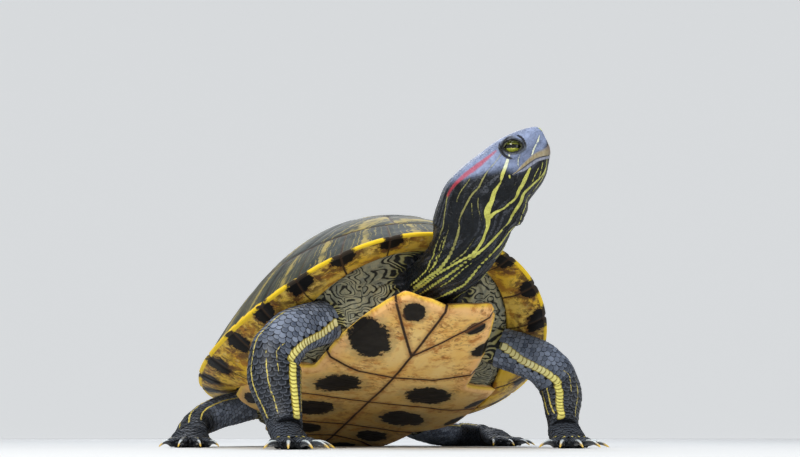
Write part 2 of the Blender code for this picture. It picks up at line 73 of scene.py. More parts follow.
HEAD_UP = HEAD_FORWARD.cross(HEAD_LEFT)
EYE_PLACE = (0.0229, 0.0076, 0.0062)
EYE_RADIUS = 0.0042
MOUTH_CORNER = (0.0180, -0.0038)
NOSTRIL = (0.0380, 0.0020, 0.0054)

SKIN_VOXEL = 0.00060
SCALE_DEPTH = 0.00035

rng = np.random.default_rng(7)


# ---- small tools for numbers


def clamp01(x):
    return np.clip(x, 0.0, 1.0)


def smoothstep(low, high, x):
    t = clamp01((np.asarray(x, float) - low) / (high - low))
    return t * t * (3 - 2 * t)


def signed_power(value, exponent):
    return np.sign(value) * np.abs(value) ** exponent


# large primes that scatter the cells of the noise
HASH_PRIMES = np.array([73856093, 19349663, 83492791])
HASH_SEED = 2654435
HASH_SPREAD = 1274126177


def noise(points, cell, seed=0):
    """Smooth noise between -1 and 1, with bumps about one cell across."""
    p = np.asarray(points, float) / cell
    base = np.floor(p).astype(np.int64)
    part = p - base
    part = part * part * (3 - 2 * part)
    total = np.zeros(len(p))
    for corner in range(8):
        step = np.array([corner & 1, corner >> 1 & 1, corner >> 2 & 1])
        cell_id = base + step
        x, y, z = (cell_id * HASH_PRIMES).T
        mixed = x ^ y ^ z ^ seed * HASH_SEED
        mixed = (mixed ^ (mixed >> 13)) * HASH_SPREAD & 0xFFFFFFFF
        value = ((mixed ^ (mixed >> 16)) & 0xFFFF) / 32767.5 - 1
        weight = np.prod(np.where(step, part, 1 - part), axis=1)
        total += value * weight
    return total


def catmull(rows, t):
    """Points on a Catmull-Rom curve through rows, at places t counted in rows."""
    rows = np.asarray(rows, float)
    padded = np.concatenate([[2 * rows[0] - rows[1]], rows, [2 * rows[-1] - rows[-2]]])
    t = np.atleast_1d(t)
    i = np.minimum(t.astype(int), len(rows) - 2)
    u = (t - i).reshape((-1,) + (1,) * (rows.ndim - 1))
    a, b, c, d = (padded[i + k] for k in range(4))
    return 0.5 * (2 * b + (c - a) * u + (2 * a - 5 * b + 4 * c - d) * u**2 + (3 * b - a - 3 * c + d) * u**3)


def segment_distance(points, start, end):
    """Distance of 2-D points from a straight stretch."""
    start, end = np.asarray(start, float), np.asarray(end, float)
    along = end - start
    share = clamp01(((points - start) @ along) / (along @ along))
    return np.linalg.norm(points - start - share[:, None] * along, axis=1)


def line_distance(points, line):
    return np.min([segment_distance(points, a, b) for a, b in zip(line, line[1:])], axis=0)


# ---- small tools for meshes


def grid_faces(rows, columns, first=0, around=False):
    """Quads of a grid of points kept row by row; around joins each row's last point to its first."""
    i, j = np.meshgrid(np.arange(rows - 1), np.arange(columns if around else columns - 1), indexing="ij")
    k = (j + 1) % columns
    corners = (i * columns + j, i * columns + k, (i + 1) * columns + k, (i + 1) * columns + j)
    return (np.stack([c.ravel() for c in corners], axis=1) + first).tolist()


def mesh_object(name, points, faces, shift=True):
    mesh = bpy.data.meshes.new(name)
    points = np.asarray(points, float) + (BOX_SHIFT if shift else 0)
    mesh.from_pydata(points.tolist(), [], faces)
    mesh.update()
    obj = bpy.data.objects.new(name, mesh)
    bpy.context.scene.collection.objects.link(obj)
    return obj


def face_out(obj):
    bm = bmesh.new()
    bm.from_mesh(obj.data)
    bmesh.ops.recalc_face_normals(bm, faces=bm.faces)
    bm.to_mesh(obj.data)
    bm.free()
    return obj


def smooth_shaded(obj, angle=None):
    obj.data.shade_smooth()
    if angle:
        obj.data.set_sharp_from_angle(angle=radians(angle))
    return obj


def points_of(obj):
    flat = np.empty(len(obj.data.vertices) * 3, np.float32)
    obj.data.vertices.foreach_get("co", flat)
    return flat.reshape(-1, 3).astype(float)


def normals_of(obj):
    flat = np.empty(len(obj.data.vertices) * 3, np.float32)
    obj.data.vertices.foreach_get("normal", flat)
    return flat.reshape(-1, 3).astype(float)


def set_points(obj, points):
    obj.data.vertices.foreach_set("co", np.asarray(points, np.float32).ravel())
    obj.data.update()


def put(obj, name, values):
    """Keeps one number for each point, for the materials to read."""
    layer = obj.data.attributes.new(name, "FLOAT", "POINT")
    layer.data.foreach_set("value", np.asarray(values, np.float32))


def apply_modifiers(obj):
    graph = bpy.context.evaluated_depsgraph_get()
    made = bpy.data.meshes.new_from_object(obj.evaluated_get(graph))
    obj.modifiers.clear()
    obj.data = made
    return obj


def joined(name, parts, shift=True):
    """One object from several (points, faces) pairs."""
    points, faces, first = [], [], 0
    for part_points, part_faces in parts:
        points.append(part_points)
        faces += [[v + first for v in face] for face in part_faces]
        first += len(part_points)
    return mesh_object(name, np.concatenate(points), faces, shift)


def loft_parts(rings):
    """(points, faces) of a closed loft through rings of equal length."""
    rings = np.asarray(rings, float)
    rows, sides = rings.shape[:2]
    faces = grid_faces(rows, sides, around=True)
    faces.append(list(range(sides))[::-1])
    faces.append([(rows - 1) * sides + k for k in range(sides)])
    return rings.reshape(-1, 3), faces


# ---- materials


class Paint:
    """A material's nodes, with one short call for each step."""

    def __init__(self, name):
        self.material = bpy.data.materials.new(name)
        self.material.use_nodes = True
        self.tree = self.material.node_tree
        self.shader = self.tree.nodes["Principled BSDF"]
        self.place = self.node("ShaderNodeTexCoord").outputs["Object"]

    def node(self, kind, **settings):
        made = self.tree.nodes.new(kind)
        for key, value in settings.items():
            setattr(made, key, value)
        return made

    def link(self, value, socket):
        if isinstance(value, bpy.types.NodeSocket):
            self.tree.links.new(value, socket)
        else:
            socket.default_value = value

    def math(self, operation, a, b=0.0, c=0.0):
        made = self.node("ShaderNodeMath", operation=operation)
        for value, socket in zip((a, b, c), made.inputs):
            self.link(value, socket)
        return made.outputs[0]

    def add(self, a, b):
        return self.math("ADD", a, b)

    def times(self, a, b):
        return self.math("MULTIPLY", a, b)

    def most(self, a, b):
        return self.math("MAXIMUM", a, b)

    def flip(self, a):
        return self.math("SUBTRACT", 1.0, a)

    def field(self, name):
        return self.node("ShaderNodeAttribute", attribute_name=name).outputs["Fac"]

    def step(self, value, low, high):
        """0 below low and 1 above high, also the other way round."""
        made = self.node("ShaderNodeMapRange", interpolation_type="SMOOTHSTEP")
        swap = low > high
        for key, number in (
            ("From Min", min(low, high)), ("From Max", max(low, high)), ("To Min", swap),
            ("To Max", not swap)
        ):
            made.inputs[key].default_value = float(number)
        self.link(value, made.inputs["Value"])
        return made.outputs[0]

    def mix_number(self, share, a, b):
        return self.add(a, self.times(share, b - a))

    def mix(self, share, a, b):
        made = self.node("ShaderNodeMix", data_type="RGBA")
        self.link(share, made.inputs[0])
        for value, socket in ((a, made.inputs[6]), (b, made.inputs[7])):
            self.link((*value, 1) if isinstance(value, tuple) else value, socket)
        return made.outputs[2]

    def moved(self, scale=(1, 1, 1), turn=(0, 0, 0)):
        made = self.node("ShaderNodeMapping")
        made.inputs["Scale"].default_value = scale
        made.inputs["Rotation"].default_value = turn
        self.link(self.place, made.inputs["Vector"])
        return made.outputs[0]

    def noise(self, size, detail=2.0, rough=0.5, where=None, warp=0.0):
        """Noise from 0 to 1, with bumps about size across in metres."""
        made = self.node("ShaderNodeTexNoise")
        for key, number in (
            ("Scale", 1 / size), ("Detail", detail), ("Roughness", rough), ("Distortion", warp)
        ):
            made.inputs[key].default_value = number
        self.link(where or self.place, made.inputs["Vector"])
        return made.outputs["Fac"]

    def cells(self, size, feature="F1", where=None, chaos=1.0):
        made = self.node("ShaderNodeTexVoronoi", feature=feature)
        made.inputs["Scale"].default_value = 1 / size
        made.inputs["Randomness"].default_value = chaos
        self.link(where or self.place, made.inputs["Vector"])
        return made.outputs["Distance"]

    def bump(self, height, depth, strength=1.0):
        made = self.node("ShaderNodeBump")
        made.inputs["Strength"].default_value = strength
        made.inputs["Distance"].default_value = depth
        self.link(height, made.inputs["Height"])
        self.tree.links.new(made.outputs[0], self.shader.inputs["Normal"])

    def set(self, **values):
        for key, value in values.items():
            name = key.replace("_", " ")
            self.link(
                (*value, 1) if isinstance(value, tuple) and len(value) == 3 else value,
                self.shader.inputs[name]
            )

    def on(self, obj):
        obj.data.materials.clear()
        obj.data.materials.append(self.material)


# ---- the shell's own frame

SHELL_TURN = np.array((Matrix.Rotation(-PITCH, 3, "X") @ Matrix.Rotation(LEAN, 3, "Y")))


def rim(angle):
    """(f, s, h) of the shell's rim; 0 is the front and a quarter turn is the left side."""
    c, s = np.cos(angle), np.sin(angle)
    forward = HALF_LENGTH * signed_power(c, 0.95)
    side = HALF_WIDTH * signed_power(s, 0.9) * (1 - 0.06 * c)
    front, rear = np.maximum(c, 0), np.maximum(-c, 0)
    return forward, side, FRONT_RIM_RISE * front**2 - SIDE_RIM_DROP * s * s - REAR_RIM_DROP * rear**2


def dome(angle, reach):
    forward, side, height = rim(angle)
    return forward * reach, side * reach, height * reach**4 + DOME_HEIGHT * (1 - reach**2.2)


def band(angle):
    """(inner reach, height) of the inner edge of the marginal plates' underside."""
    c, s = np.cos(angle), np.sin(angle)
    front, rear = np.maximum(c, 0) ** 2, np.maximum(-c, 0) ** 2
    width = 0.017 * front + 0.022 * s * s + 0.014 * rear
    fall = -0.0005 * front - 0.010 * s**8 + 0.001 * rear
    forward, side, height = rim(angle)
    return 1 - width / np.hypot(forward, side), height + fall


def lip_side(forward):
    angles = np.linspace(0.02, pi - 0.02, 400)
    reach, _ = band(angles)
    f, s, _ = rim(angles)
    return np.interp(forward, (f * reach)[::-1], (s * reach)[::-1])


def plastron_half_width(forward):
    bridge = lip_side(forward)
    knots = np.array(
        (
            (PLASTRON_REAR, 0.014),
            (-0.084, 0.024),
            (-0.070, 0.036),
            (-0.052, 0.041),
            (-0.042, 0.042),
            (-0.035, np.nan),
            (0.018, np.nan),
            (0.026, 0.041),
            (0.036, 0.040),
            (0.055, 0.0375),
            (0.075, 0.032),
            (0.090, 0.027),
            (0.0955, 0.024),
            (PLASTRON_FRONT, 0.0205),
        )
    )
    rows = [
        np.interp(forward, knots[:, 0], np.where(np.isnan(knots[:, 1]), lip_side(knots[:, 0]), knots[:, 1]))
    ]
    on_bridge = (forward > -0.035) & (forward < 0.018)
    return np.where(on_bridge, bridge, rows[0])


def plastron_bottom(forward, side):
    height = (
        -PLASTRON_DEPTH + FRONT_UPTURN * np.maximum(0, (forward - 0.015) / (PLASTRON_FRONT - 0.015)) ** 1.5
    )
    height = height + 0.004 * np.maximum(0, (-forward - 0.060) / 0.030) ** 2
    height = height + 0.0030 * (side / 0.030) ** 2 * clamp01((forward - 0.03) / 0.05)
    return height + 0.0042 * np.maximum(0, (np.abs(side) - 0.040) / 0.022) ** 1.5


def tipped(forward, side, height):
    forward, side, height = np.broadcast_arrays(forward, side, height)
    return np.stack([side, -forward, height], axis=-1) @ SHELL_TURN.T


LOWEST = min(tipped(-0.079, s, plastron_bottom(-0.079, s))[2] for s in (-0.025, 0, 0.025))
SHELL_LIFT = np.array([0, 0, -LOWEST - FLOOR_CUT])


def shell_point(forward, side, height):
    return tipped(forward, side, height) + SHELL_LIFT


# ---- the pattern of the shell's plates, in the shell's plan

# kinds of surface on the carapace, kept as "kind" for the material
ON_BACK, ON_EDGE, ON_UNDERSIDE, ON_CEILING = 0, 0.5, 1, 2
# the plates' numbers: the middle row from 0, the rows beside it and the marginal plates from these
FIRST_COSTAL = 10
FIRST_MARGINAL = 20
NO_PLATE = 30
# share of the way out where the back turns over the rim, the rim's thickness and its lip's radius
BACK_ENDS = 0.982
RIM_THICKNESS = 0.0020
LIP_ROUNDING = 0.0011
# Where the marginal plates part, in degrees from the front, the same on both sides.
MARGINAL_SEAMS = (3, 20, 36, 51, 65, 79, 94, 108, 122, 137, 152, 167, 180)
VERTEBRAL_SEAMS = (0.100, 0.067, 0.027, -0.014, -0.055)
COSTAL_SEAMS = ((0.047, 0.12), (0.006, 0.0), (-0.035, -0.16))
# (f, half width) along the sides of the middle row of plates
VERTEBRAL_SIDE = (
    (0.100, 0.0160), (0.084, 0.0210), (0.067, 0.0165), (0.047, 0.0235), (0.027, 0.0175), (0.006, 0.0235),
    (-0.014, 0.0170), (-0.035, 0.0225), (-0.055, 0.0150), (-0.078, 0.0265), (-0.094, 0.0200),
)
GULAR_APEX = 0.052
PLASTRON_SEAMS = (
    ((PLASTRON_FRONT + 0.004, 0), (PLASTRON_REAR - 0.004, 0)),
    ((GULAR_APEX, 0), (PLASTRON_FRONT + 0.002, 0.0285)),
    ((0.0285, 0), (0.031, 0.020), (0.044, 0.045)),
    ((-0.006, 0), (-0.004, 0.035), (-0.008, 0.066)),
    ((-0.041, 0), (-0.044, 0.030), (-0.0405, 0.070)),
    ((-0.060, 0), (-0.066, 0.018), (-0.082, 0.036)),
)


def marginal_reach(angle):
    """Share of the way out where the marginal plates begin on the back."""
    forward, side, _ = rim(angle)
    c = np.cos(angle)
    width = 0.0185 + 0.0025 * np.sin(angle) ** 2 + 0.003 * np.maximum(-c, 0) ** 2
    return 1 - width / np.hypot(forward, side)


def marginal_place(angle):
    """(distance in metres along the rim to the nearest seam, share across the plate, plate's number)."""
    degrees = np.abs(np.degrees(angle))
    seams = np.array(MARGINAL_SEAMS, float)
    number = np.clip(np.searchsorted(seams, degrees, side="right") - 1, -1, len(seams) - 2)
    low = np.where(number < 0, -seams[0], seams[np.maximum(number, 0)])
    high = seams[number + 1]
    per_degree = 0.0019 - 0.0002 * np.abs(np.sin(angle))
    distance = np.minimum(degrees - low, high - degrees) * per_degree
    distance = np.where(number < 0, (high - degrees) * per_degree, distance)
    return distance, (degrees - low) / (high - low), number


# ---- carapace

AROUND = 520
RIM_DEGREES = np.linspace(-180, 180, AROUND, endpoint=False)


def seam_fields(angle, reach):
    """On the back: (distance from the nearest seam, across the plate, along the plate, plate's number)."""
    forward, side, _ = dome(angle, reach)
    wide = np.abs(side)
    plan = np.stack([forward, wide], axis=1)
    border = (reach - marginal_reach(angle)) * np.hypot(*rim(angle)[:2])
    rim_gap, rim_share, rim_number = marginal_place(angle)
    on_rim = border > 0
    to_side = line_distance(plan, VERTEBRAL_SIDE)
    side_here = np.interp(-forward, [-f for f, _ in VERTEBRAL_SIDE], [w for _, w in VERTEBRAL_SIDE])
    in_middle = ~on_rim & (wide < side_here)
    across_middle = np.min(
        [np.abs(forward - f - 0.0015 * np.cos(side / 0.006)) for f in VERTEBRAL_SEAMS], axis=0
    )
    costal_lines = [f + slope * np.maximum(wide - 0.0235, 0) for f, slope in COSTAL_SEAMS]
    across_costal = np.min([np.abs(forward - line) for line in costal_lines], axis=0)
    gap = np.where(on_rim, rim_gap, np.where(in_middle, across_middle, across_costal))
    gap = np.where(on_rim, gap, np.minimum(gap, to_side))
    gap = np.minimum(gap, np.abs(border))
    middle_number = np.sum([forward < f for f in VERTEBRAL_SEAMS], axis=0)
    costal_number = FIRST_COSTAL + np.sum([forward < line for line in costal_lines], axis=0)
    number = np.where(on_rim, FIRST_MARGINAL + rim_number, np.where(in_middle, middle_number, costal_number))
    costal_edges = [0.100] + [f for f, _ in COSTAL_SEAMS] + [-0.085]
    picked = np.clip(costal_number - FIRST_COSTAL, 0, 3)
    low = np.array(costal_edges)[picked]
    high = np.array(costal_edges)[picked + 1]
    along_costal = (low - forward) / (low - high)
    middle_edges = np.array((0.110,) + VERTEBRAL_SEAMS + (-0.094,))
    picked = np.clip(middle_number, 0, 5)
    along_middle = (middle_edges[picked] - forward) / (middle_edges[picked] - middle_edges[picked + 1])
    along = np.where(on_rim, rim_share, np.where(in_middle, along_middle, along_costal))
    out_costal = (
        (wide - side_here) / np.maximum(marginal_reach(angle) * np.abs(rim(angle)[1]) - side_here, 0.01)
    )
    out = np.where(on_rim, border / 0.020, np.where(in_middle, side / 0.0235, out_costal))
    return gap, out, along, number, on_rim


def back_relief(angle, reach, gap, number, on_rim):
    """How far the back's surface stands off the plain dome, in metres."""
    forward, side, _ = dome(angle, reach)
    groove = -0.00055 * np.exp(-((gap / 0.00062) ** 2))
    swell = 0.0007 * (1 - np.exp(-gap / 0.006)) * np.where(on_rim, 0.4, 1.0)
    growth = 0.00007 * np.sin(gap * 2 * pi / 0.0019 + number) * smoothstep(0.0008, 0.002, gap)
    growth = growth * (1 - smoothstep(0.008, 0.014, gap))
    keel = 0.0011 * np.exp(-((side / 0.0035) ** 2)) * smoothstep(0.085, 0.02, forward)
    points = np.stack([forward, side, number * 0.05], axis=1)
    rough = 0.00016 * noise(points, 0.007, 3) + 0.00010 * noise(points, 0.0026, 5)
    return groove + swell + growth + keel + rough


def rim_notches(degrees):
    """The hind marginal plates end in shallow teeth, and every seam nicks the edge."""
    gap, share, _ = marginal_place(np.radians(degrees))
    rear = smoothstep(100, 150, np.abs(degrees))
    tooth = 0.0011 * rear * (smoothstep(0.0, 0.75, share) - 0.5) * (1 - smoothstep(0.9, 1.0, share))
    return tooth - 0.0007 * np.exp(-((gap / 0.0012) ** 2)) - 0.0004 * rear


def make_carapace():
    """Rows run from the top of the back over the rounded rim to the underside's lip and hidden ceiling."""
    angles = np.radians(RIM_DEGREES)
    fine = 1.0
    top_rows = int(130 * fine)
    under_rows = int(40 * fine)
    forward, side, height = rim(angles)
    inner_reach, inner_height = band(angles)
    radius = np.hypot(forward, side)
    notch = rim_notches(RIM_DEGREES)
    rows, fields = [], []

    def keep(points, kind, gap, out, along, number):
        rows.append(points)
        fields.append(
            [np.broadcast_to(np.asarray(v, float), angles.shape) for v in (kind, gap, out, along, number)]
        )

    over_the_back = np.linspace(0.004, 0.80, int(top_rows * 0.72), endpoint=False)
    near_the_rim = np.linspace(0.80, BACK_ENDS, int(top_rows * 0.28))
    reaches = np.concatenate([over_the_back, near_the_rim])
    for reach in reaches:
        gap, out, along, number, on_rim = seam_fields(angles, reach)
        relief = back_relief(angles, reach, gap, number, on_rim)
        f, s, h = dome(angles, reach)
        edge = smoothstep(0.90, 0.985, reach) * notch / radius
        lift = relief * (1 - smoothstep(0.955, BACK_ENDS, reach) * 0.6)
        keep(shell_point(f * (1 + edge), s * (1 + edge), h + lift), ON_BACK, gap, out, along, number)
    rim_gap, rim_share, rim_number = marginal_place(angles)
    rim_dent = np.exp(-((rim_gap / 0.0008) ** 2))
    _, _, top = dome(angles, BACK_ENDS)
    rim_number = FIRST_MARGINAL + rim_number
    for turn in np.radians((20, 50, 80, 110, 140, 165)):
        centre = BACK_ENDS + notch / radius
        bulge = np.sin(turn) * 0.0018 - 0.0003 * rim_dent
        f, s = forward * centre * (1 + bulge / radius), side * centre * (1 + bulge / radius)
        h = top - RIM_THICKNESS * (1 - np.cos(turn)) / 2 - 0.0002
        keep(shell_point(f, s, h), ON_EDGE, rim_gap, 1.0, rim_share, rim_number)
    for share in np.linspace(0.03, 1.0, under_rows):
        reach = (0.985 + notch / radius) * (1 - share) + inner_reach * share
        belly = -LIP_ROUNDING * sin(pi * min(1, share * 1.05)) ** 0.8 * np.ones_like(angles)
        groove = 0.00042 * np.exp(-((rim_gap / 0.00060) ** 2))
        rough = 0.00010 * noise(np.stack([forward * reach, side * reach, height * 0], axis=1), 0.004, 9)
        h = (top - RIM_THICKNESS) * (1 - share) + inner_height * share + belly + groove + rough
        keep(
            shell_point(forward * reach, side * reach, h), ON_UNDERSIDE, rim_gap, share, rim_share,
            rim_number
        )
    for turn in np.radians((30, 60, 90)):
        reach = inner_reach - LIP_ROUNDING * np.sin(turn) / radius
        h = inner_height + LIP_ROUNDING * (1 - np.cos(turn))
        keep(shell_point(forward * reach, side * reach, h), ON_UNDERSIDE, rim_gap, 1.0, rim_share, rim_number)
    wall_reach = inner_reach - LIP_ROUNDING / radius
    for rise in (0.003, 0.006, 0.008):
        wall = shell_point(forward * wall_reach, side * wall_reach, inner_height + rise)
        keep(wall, ON_CEILING, 0.01, 1, 0.5, NO_PLATE)
    for share in (0.94, 0.75, 0.5, 0.25, 0.03):
        f, s, h = dome(angles, inner_reach * share)
        keep(shell_point(f, s, h - BONE - 0.002 * share), ON_CEILING, 0.01, 1, 0.5, NO_PLATE)
    faces = grid_faces(len(rows), AROUND, around=True)
    points = np.concatenate(rows)
    faces.append(list(range(AROUND))[::-1])
    faces.append([(len(rows) - 1) * AROUND + k for k in range(AROUND)])
    obj = face_out(mesh_object("carapace_plates", points, faces))
    kind, gap, out, along, number = (np.concatenate([f[i] for f in fields]) for i in range(5))
    put(obj, "kind", kind)
    put(obj, "seam", gap * MILLI)
    put(obj, "out", out)
    put(obj, "along", along)
    put(obj, "number", number)
    put(obj, "blob", marginal_blobs(np.tile(angles, len(rows)), kind, out))
    return smooth_shaded(obj)


# Smudges over the seams of the rim's plates: (degrees from the front, share of the way in, half sizes in mm)
RIM_BLOBS = (
    (19.5, 0.05, 6.4, 5.4),
    (35.5, 0.02, 7.2, 5.8),
    (50.5, 0.04, 8.2, 6.8),
    (65, 0.06, 6.2, 5.6),
    (80, 0.12, 6.2, 6.4),
    (95, 0.16, 6.2, 6.6),
    (109, 0.16, 6.6, 6.4),
    (123, 0.16, 6.4, 6.0),
    (138, 0.18, 6.2, 5.2),
    (152, 0.20, 6.2, 4.8),
    (167, 0.22, 5.6, 4.4),
)
# width of the rim's underside, in mm
BAND_AT_FRONT = 17.0
BAND_AT_SIDE = 22.0
BAND_AT_REAR = 14.0


def marginal_blobs(angle, kind, share):
    """0 in the middle of a smudge, 1 at its edge, and more outside."""
    degrees = np.degrees(angle)
    front, rear = np.maximum(np.cos(angle), 0) ** 2, np.maximum(-np.cos(angle), 0) ** 2
    width = BAND_AT_FRONT * front + BAND_AT_SIDE * np.sin(angle) ** 2 + BAND_AT_REAR * rear
    inward = np.where(kind > 0.9, share, np.where(kind > 0.3, -0.08, -0.25))
    best = np.full(len(angle), 9.0)
    for side in (-1, 1):
        for place, depth, long, wide in RIM_BLOBS:
            along = (degrees * side - place) * 1.75
            into = (inward - depth - 0.08) * width
            best = np.minimum(best, np.hypot(along / long, into / wide))
    return best


def carapace_paint():
    p = Paint("shell_back")
    kind, seam, out, along, number = (p.field(n) for n in ("kind", "seam", "out", "along", "number"))
    blob = p.field("blob")
    fine, patchy, broad = p.noise(0.0016, 4), p.noise(0.006, 4, 0.6), p.noise(0.022, 3)
    # the back: olive brown, with a yellow bar across each plate and finer wavy lines beside it
    olive = p.mix(p.step(broad, 0.35, 0.7), (0.022, 0.030, 0.026), (0.048, 0.052, 0.036))
    olive = p.mix(p.times(p.step(patchy, 0.45, 0.75), 0.6), olive, (0.012, 0.015, 0.014))
    wobble = p.times(p.add(patchy, -0.5), 0.30)
    away = p.math("ABSOLUTE", p.add(p.add(along, -0.5), wobble))
    bar = p.step(away, 0.085, 0.045)
    waves = p.math("SINE", p.times(p.add(along, p.times(wobble, 0.7)), 52.0))
    lines = p.times(p.step(waves, 0.72, 0.95), p.step(away, 0.46, 0.16))
    fade = p.step(p.noise(0.011, 2), 0.30, 0.52)
    pattern = p.times(p.most(bar, p.times(lines, 0.75)), fade)
    back = p.mix(pattern, olive, (0.30, 0.235, 0.060))
    # underside of the rim: yellow with rust stains, black smudges over the seams, and a brown ring round each
    stain = p.step(p.noise(0.0065, 6, 0.70), 0.46, 0.60)
    yellow = p.mix(p.step(broad, 0.30, 0.75), (0.74, 0.46, 0.030), (0.70, 0.50, 0.12))
    yellow = p.mix(p.times(stain, 0.80), yellow, (0.32, 0.115, 0.020))
    yellow = p.mix(p.times(p.step(p.noise(0.0030, 3), 0.60, 0.72), 0.45), yellow, (0.62, 0.50, 0.22))
    edge = p.add(blob, p.times(p.add(p.noise(0.0085, 7, 0.80), -0.5), 1.7))
    edge = p.add(edge, p.times(p.add(p.noise(0.0030, 5, 0.75), -0.5), 1.1))
    around = p.step(p.noise(0.0055, 6, 0.70, None, 1.0), 0.44, 0.55)
    under = p.mix(p.times(p.times(p.step(edge, 2.5, 1.4), around), 0.88), yellow, (0.085, 0.036, 0.016))
    under = p.mix(p.times(p.step(edge, 1.34, 1.10), 0.50), under, (0.16, 0.075, 0.024))
    under = p.mix(p.step(edge, 1.08, 0.92), under, (0.004, 0.0035, 0.0035))
    # the bright edge of the rim, cut by the smudges
    lip = p.mix(p.step(edge, 1.25, 0.95), (0.86, 0.58, 0.025), (0.035, 0.026, 0.018))
    colour = p.mix(p.step(kind, 0.10, 0.42), back, lip)
    band_edge = p.add(out, p.times(p.add(patchy, -0.5), 0.16))
    on_band = p.times(
        p.step(band_edge, 0.875, 0.905), p.times(p.step(number, 19.4, 19.6), p.step(kind, 0.3, 0.1))
    )
    colour = p.mix(on_band, colour, lip)
    colour = p.mix(p.step(kind, 0.60, 0.95), colour, under)
    dark_seam = p.step(seam, 0.90, 0.40)
    colour = p.mix(p.times(dark_seam, p.step(kind, 2.0, 1.2)), colour, (0.040, 0.022, 0.012))
    colour = p.mix(p.step(kind, 1.3, 1.7), colour, (0.10, 0.075, 0.04))
    p.set(Base_Color=colour, Roughness=p.add(0.42, p.times(patchy, 0.22)))
    p.set(Specular_IOR_Level=0.14, Coat_Weight=0.02, Coat_Roughness=0.3)
    p.bump(p.add(p.times(fine, 0.5), p.times(p.cells(0.0011), 0.4)), 0.00022, 0.55)
    return p


# ---- plastron

# Dark spots: (f, s, half length along the body, half width), in mm
PLASTRON_SPOTS = (
    (89, -13.6, 7.2, 5.6), (61, -24.5, 15.5, 9.6),
    (82, 20.5, 5.4, 4.4), (63, 33.0, 7.0, 5.0),
    (14, -24.0, 10.5, 13.0), (12, 25.0, 10.0, 12.5),
    (-23, -27.0, 10.0, 13.5), (-24, 26.0, 9.5, 13.0),
    (-54, -20.0, 8.0, 10.0), (-55, 20.5, 8.0, 10.0),
    (-78, -11.5, 6.0, 6.5), (-78, 12.0, 6.0, 6.5),
    (2, -57.0, 8.0, 3.6), (2, 57.0, 8.0, 3.6),
    (-26, -57.0, 7.0, 3.4), (-26, 57.0, 7.0, 3.4),
)


def plastron_outline(along):
    """Half-width with the angular corners and small notches where the seams meet the edge."""
    spread = np.array([-0.0016, -0.0008, 0, 0.0008, 0.0016])
    inner = np.clip(along[:, None] + spread, PLASTRON_REAR, PLASTRON_FRONT)
    half = plastron_half_width(inner).mean(axis=1)
    on_bridge = (along > -0.034) & (along < 0.017)
    half = np.where(on_bridge, plastron_half_width(along) + 0.0004, half)
    for place in (0.0925, 0.0420, -0.0405, -0.0800):
        half -= 0.0009 * np.exp(-(((along - place) / 0.0010) ** 2))
    return half


def make_plastron():
    fine = 1.0
    columns, rows_count = int(120 * fine) | 1, int(250 * fine)
    rounding = np.sin(np.linspace(-pi / 2, pi / 2, columns))
    across = 0.35 * rounding + 0.65 * np.linspace(-1, 1, columns)
    along = np.linspace(PLASTRON_REAR, PLASTRON_FRONT, rows_count)
    half = plastron_outline(along)
    side = half[:, None] * across[None, :]
    notch = 0.0028 * np.maximum(0, 1 - np.abs(side) / 0.008)
    forward = along[:, None] - notch * np.maximum(0, along[:, None] - 0.08) / 0.018
    forward = forward + 2 * notch * np.maximum(0, -along[:, None] - 0.075) / 0.015
    # the gular plates bow forward a little, each to a corner at its outer seam
    forward = (
        forward + 0.0012 * smoothstep(0.088, PLASTRON_FRONT, along)[:, None]
        * np.exp(-(((np.abs(side) - 0.019) / 0.004) ** 2))
    )
    edge = np.minimum(
        half[:, None] - np.abs(side), np.minimum(PLASTRON_FRONT - along, along - PLASTRON_REAR)[:, None]
    )
    plan = np.stack([forward.ravel(), np.abs(side).ravel()], axis=1)
    gap = np.min([line_distance(plan, line) for line in PLASTRON_SEAMS], axis=0).reshape(side.shape)
    base = plastron_bottom(forward, side)
    roll = 0.0021 * np.sqrt(clamp01(1 - clamp01(edge / 0.0024) * (2 - clamp01(edge / 0.0024))))
    places = np.stack([forward.ravel(), side.ravel(), np.zeros(side.size)], axis=1)
    rough = 0.00012 * noise(places, 0.009, 21) + 0.00007 * noise(places, 0.003, 22)
    growth = (
        0.00006 * np.sin(gap * 2 * pi / 0.0026) * smoothstep(0.001, 0.003, gap)
        * (1 - smoothstep(0.010, 0.018, gap))
    )
    groove = 0.00042 * np.exp(-((gap / 0.00060) ** 2))
    low = base + roll + groove + growth + rough.reshape(side.shape)
    high = base + PLASTRON_THICKNESS - roll
    bottom = shell_point(forward, side, low)
    bottom[..., 2] = np.maximum(bottom[..., 2], 0.0)
    top = shell_point(forward, side, high)
    count = side.size
    faces = grid_faces(rows_count, columns) + [f[::-1] for f in grid_faces(rows_count, columns, count)]
    index = np.arange(count).reshape(side.shape)
    border = np.concatenate([index[0, :-1], index[:-1, -1], index[-1, :0:-1], index[:0:-1, 0]])
    for a, b in zip(border, np.roll(border, -1)):
        faces.append([int(b), int(a), int(a) + count, int(b) + count])
    points = np.concatenate([bottom.reshape(-1, 3), top.reshape(-1, 3)])
    obj = face_out(mesh_object("plastron_plates", points, faces))
    spot = np.full(count, 9.0)
    f_mm, s_mm = forward.ravel() * MILLI, side.ravel() * MILLI
    for f, s, long, wide in PLASTRON_SPOTS:
        turn = 0.35 * np.sign(s)
        a = (f_mm - f) * cos(turn) + (s_mm - s) * np.sin(turn)
        b = (s_mm - s) * cos(turn) - (f_mm - f) * np.sin(turn)
        spot = np.minimum(spot, np.hypot(a / long, b / wide))
    put(obj, "seam", np.tile(gap.ravel() * MILLI, 2))
    put(obj, "spot", np.concatenate([spot, np.full(count, 9.0)]))
    put(obj, "edge", np.tile(edge.ravel() * MILLI, 2))
    put(obj, "forward", np.tile(f_mm, 2))
    return smooth_shaded(obj)


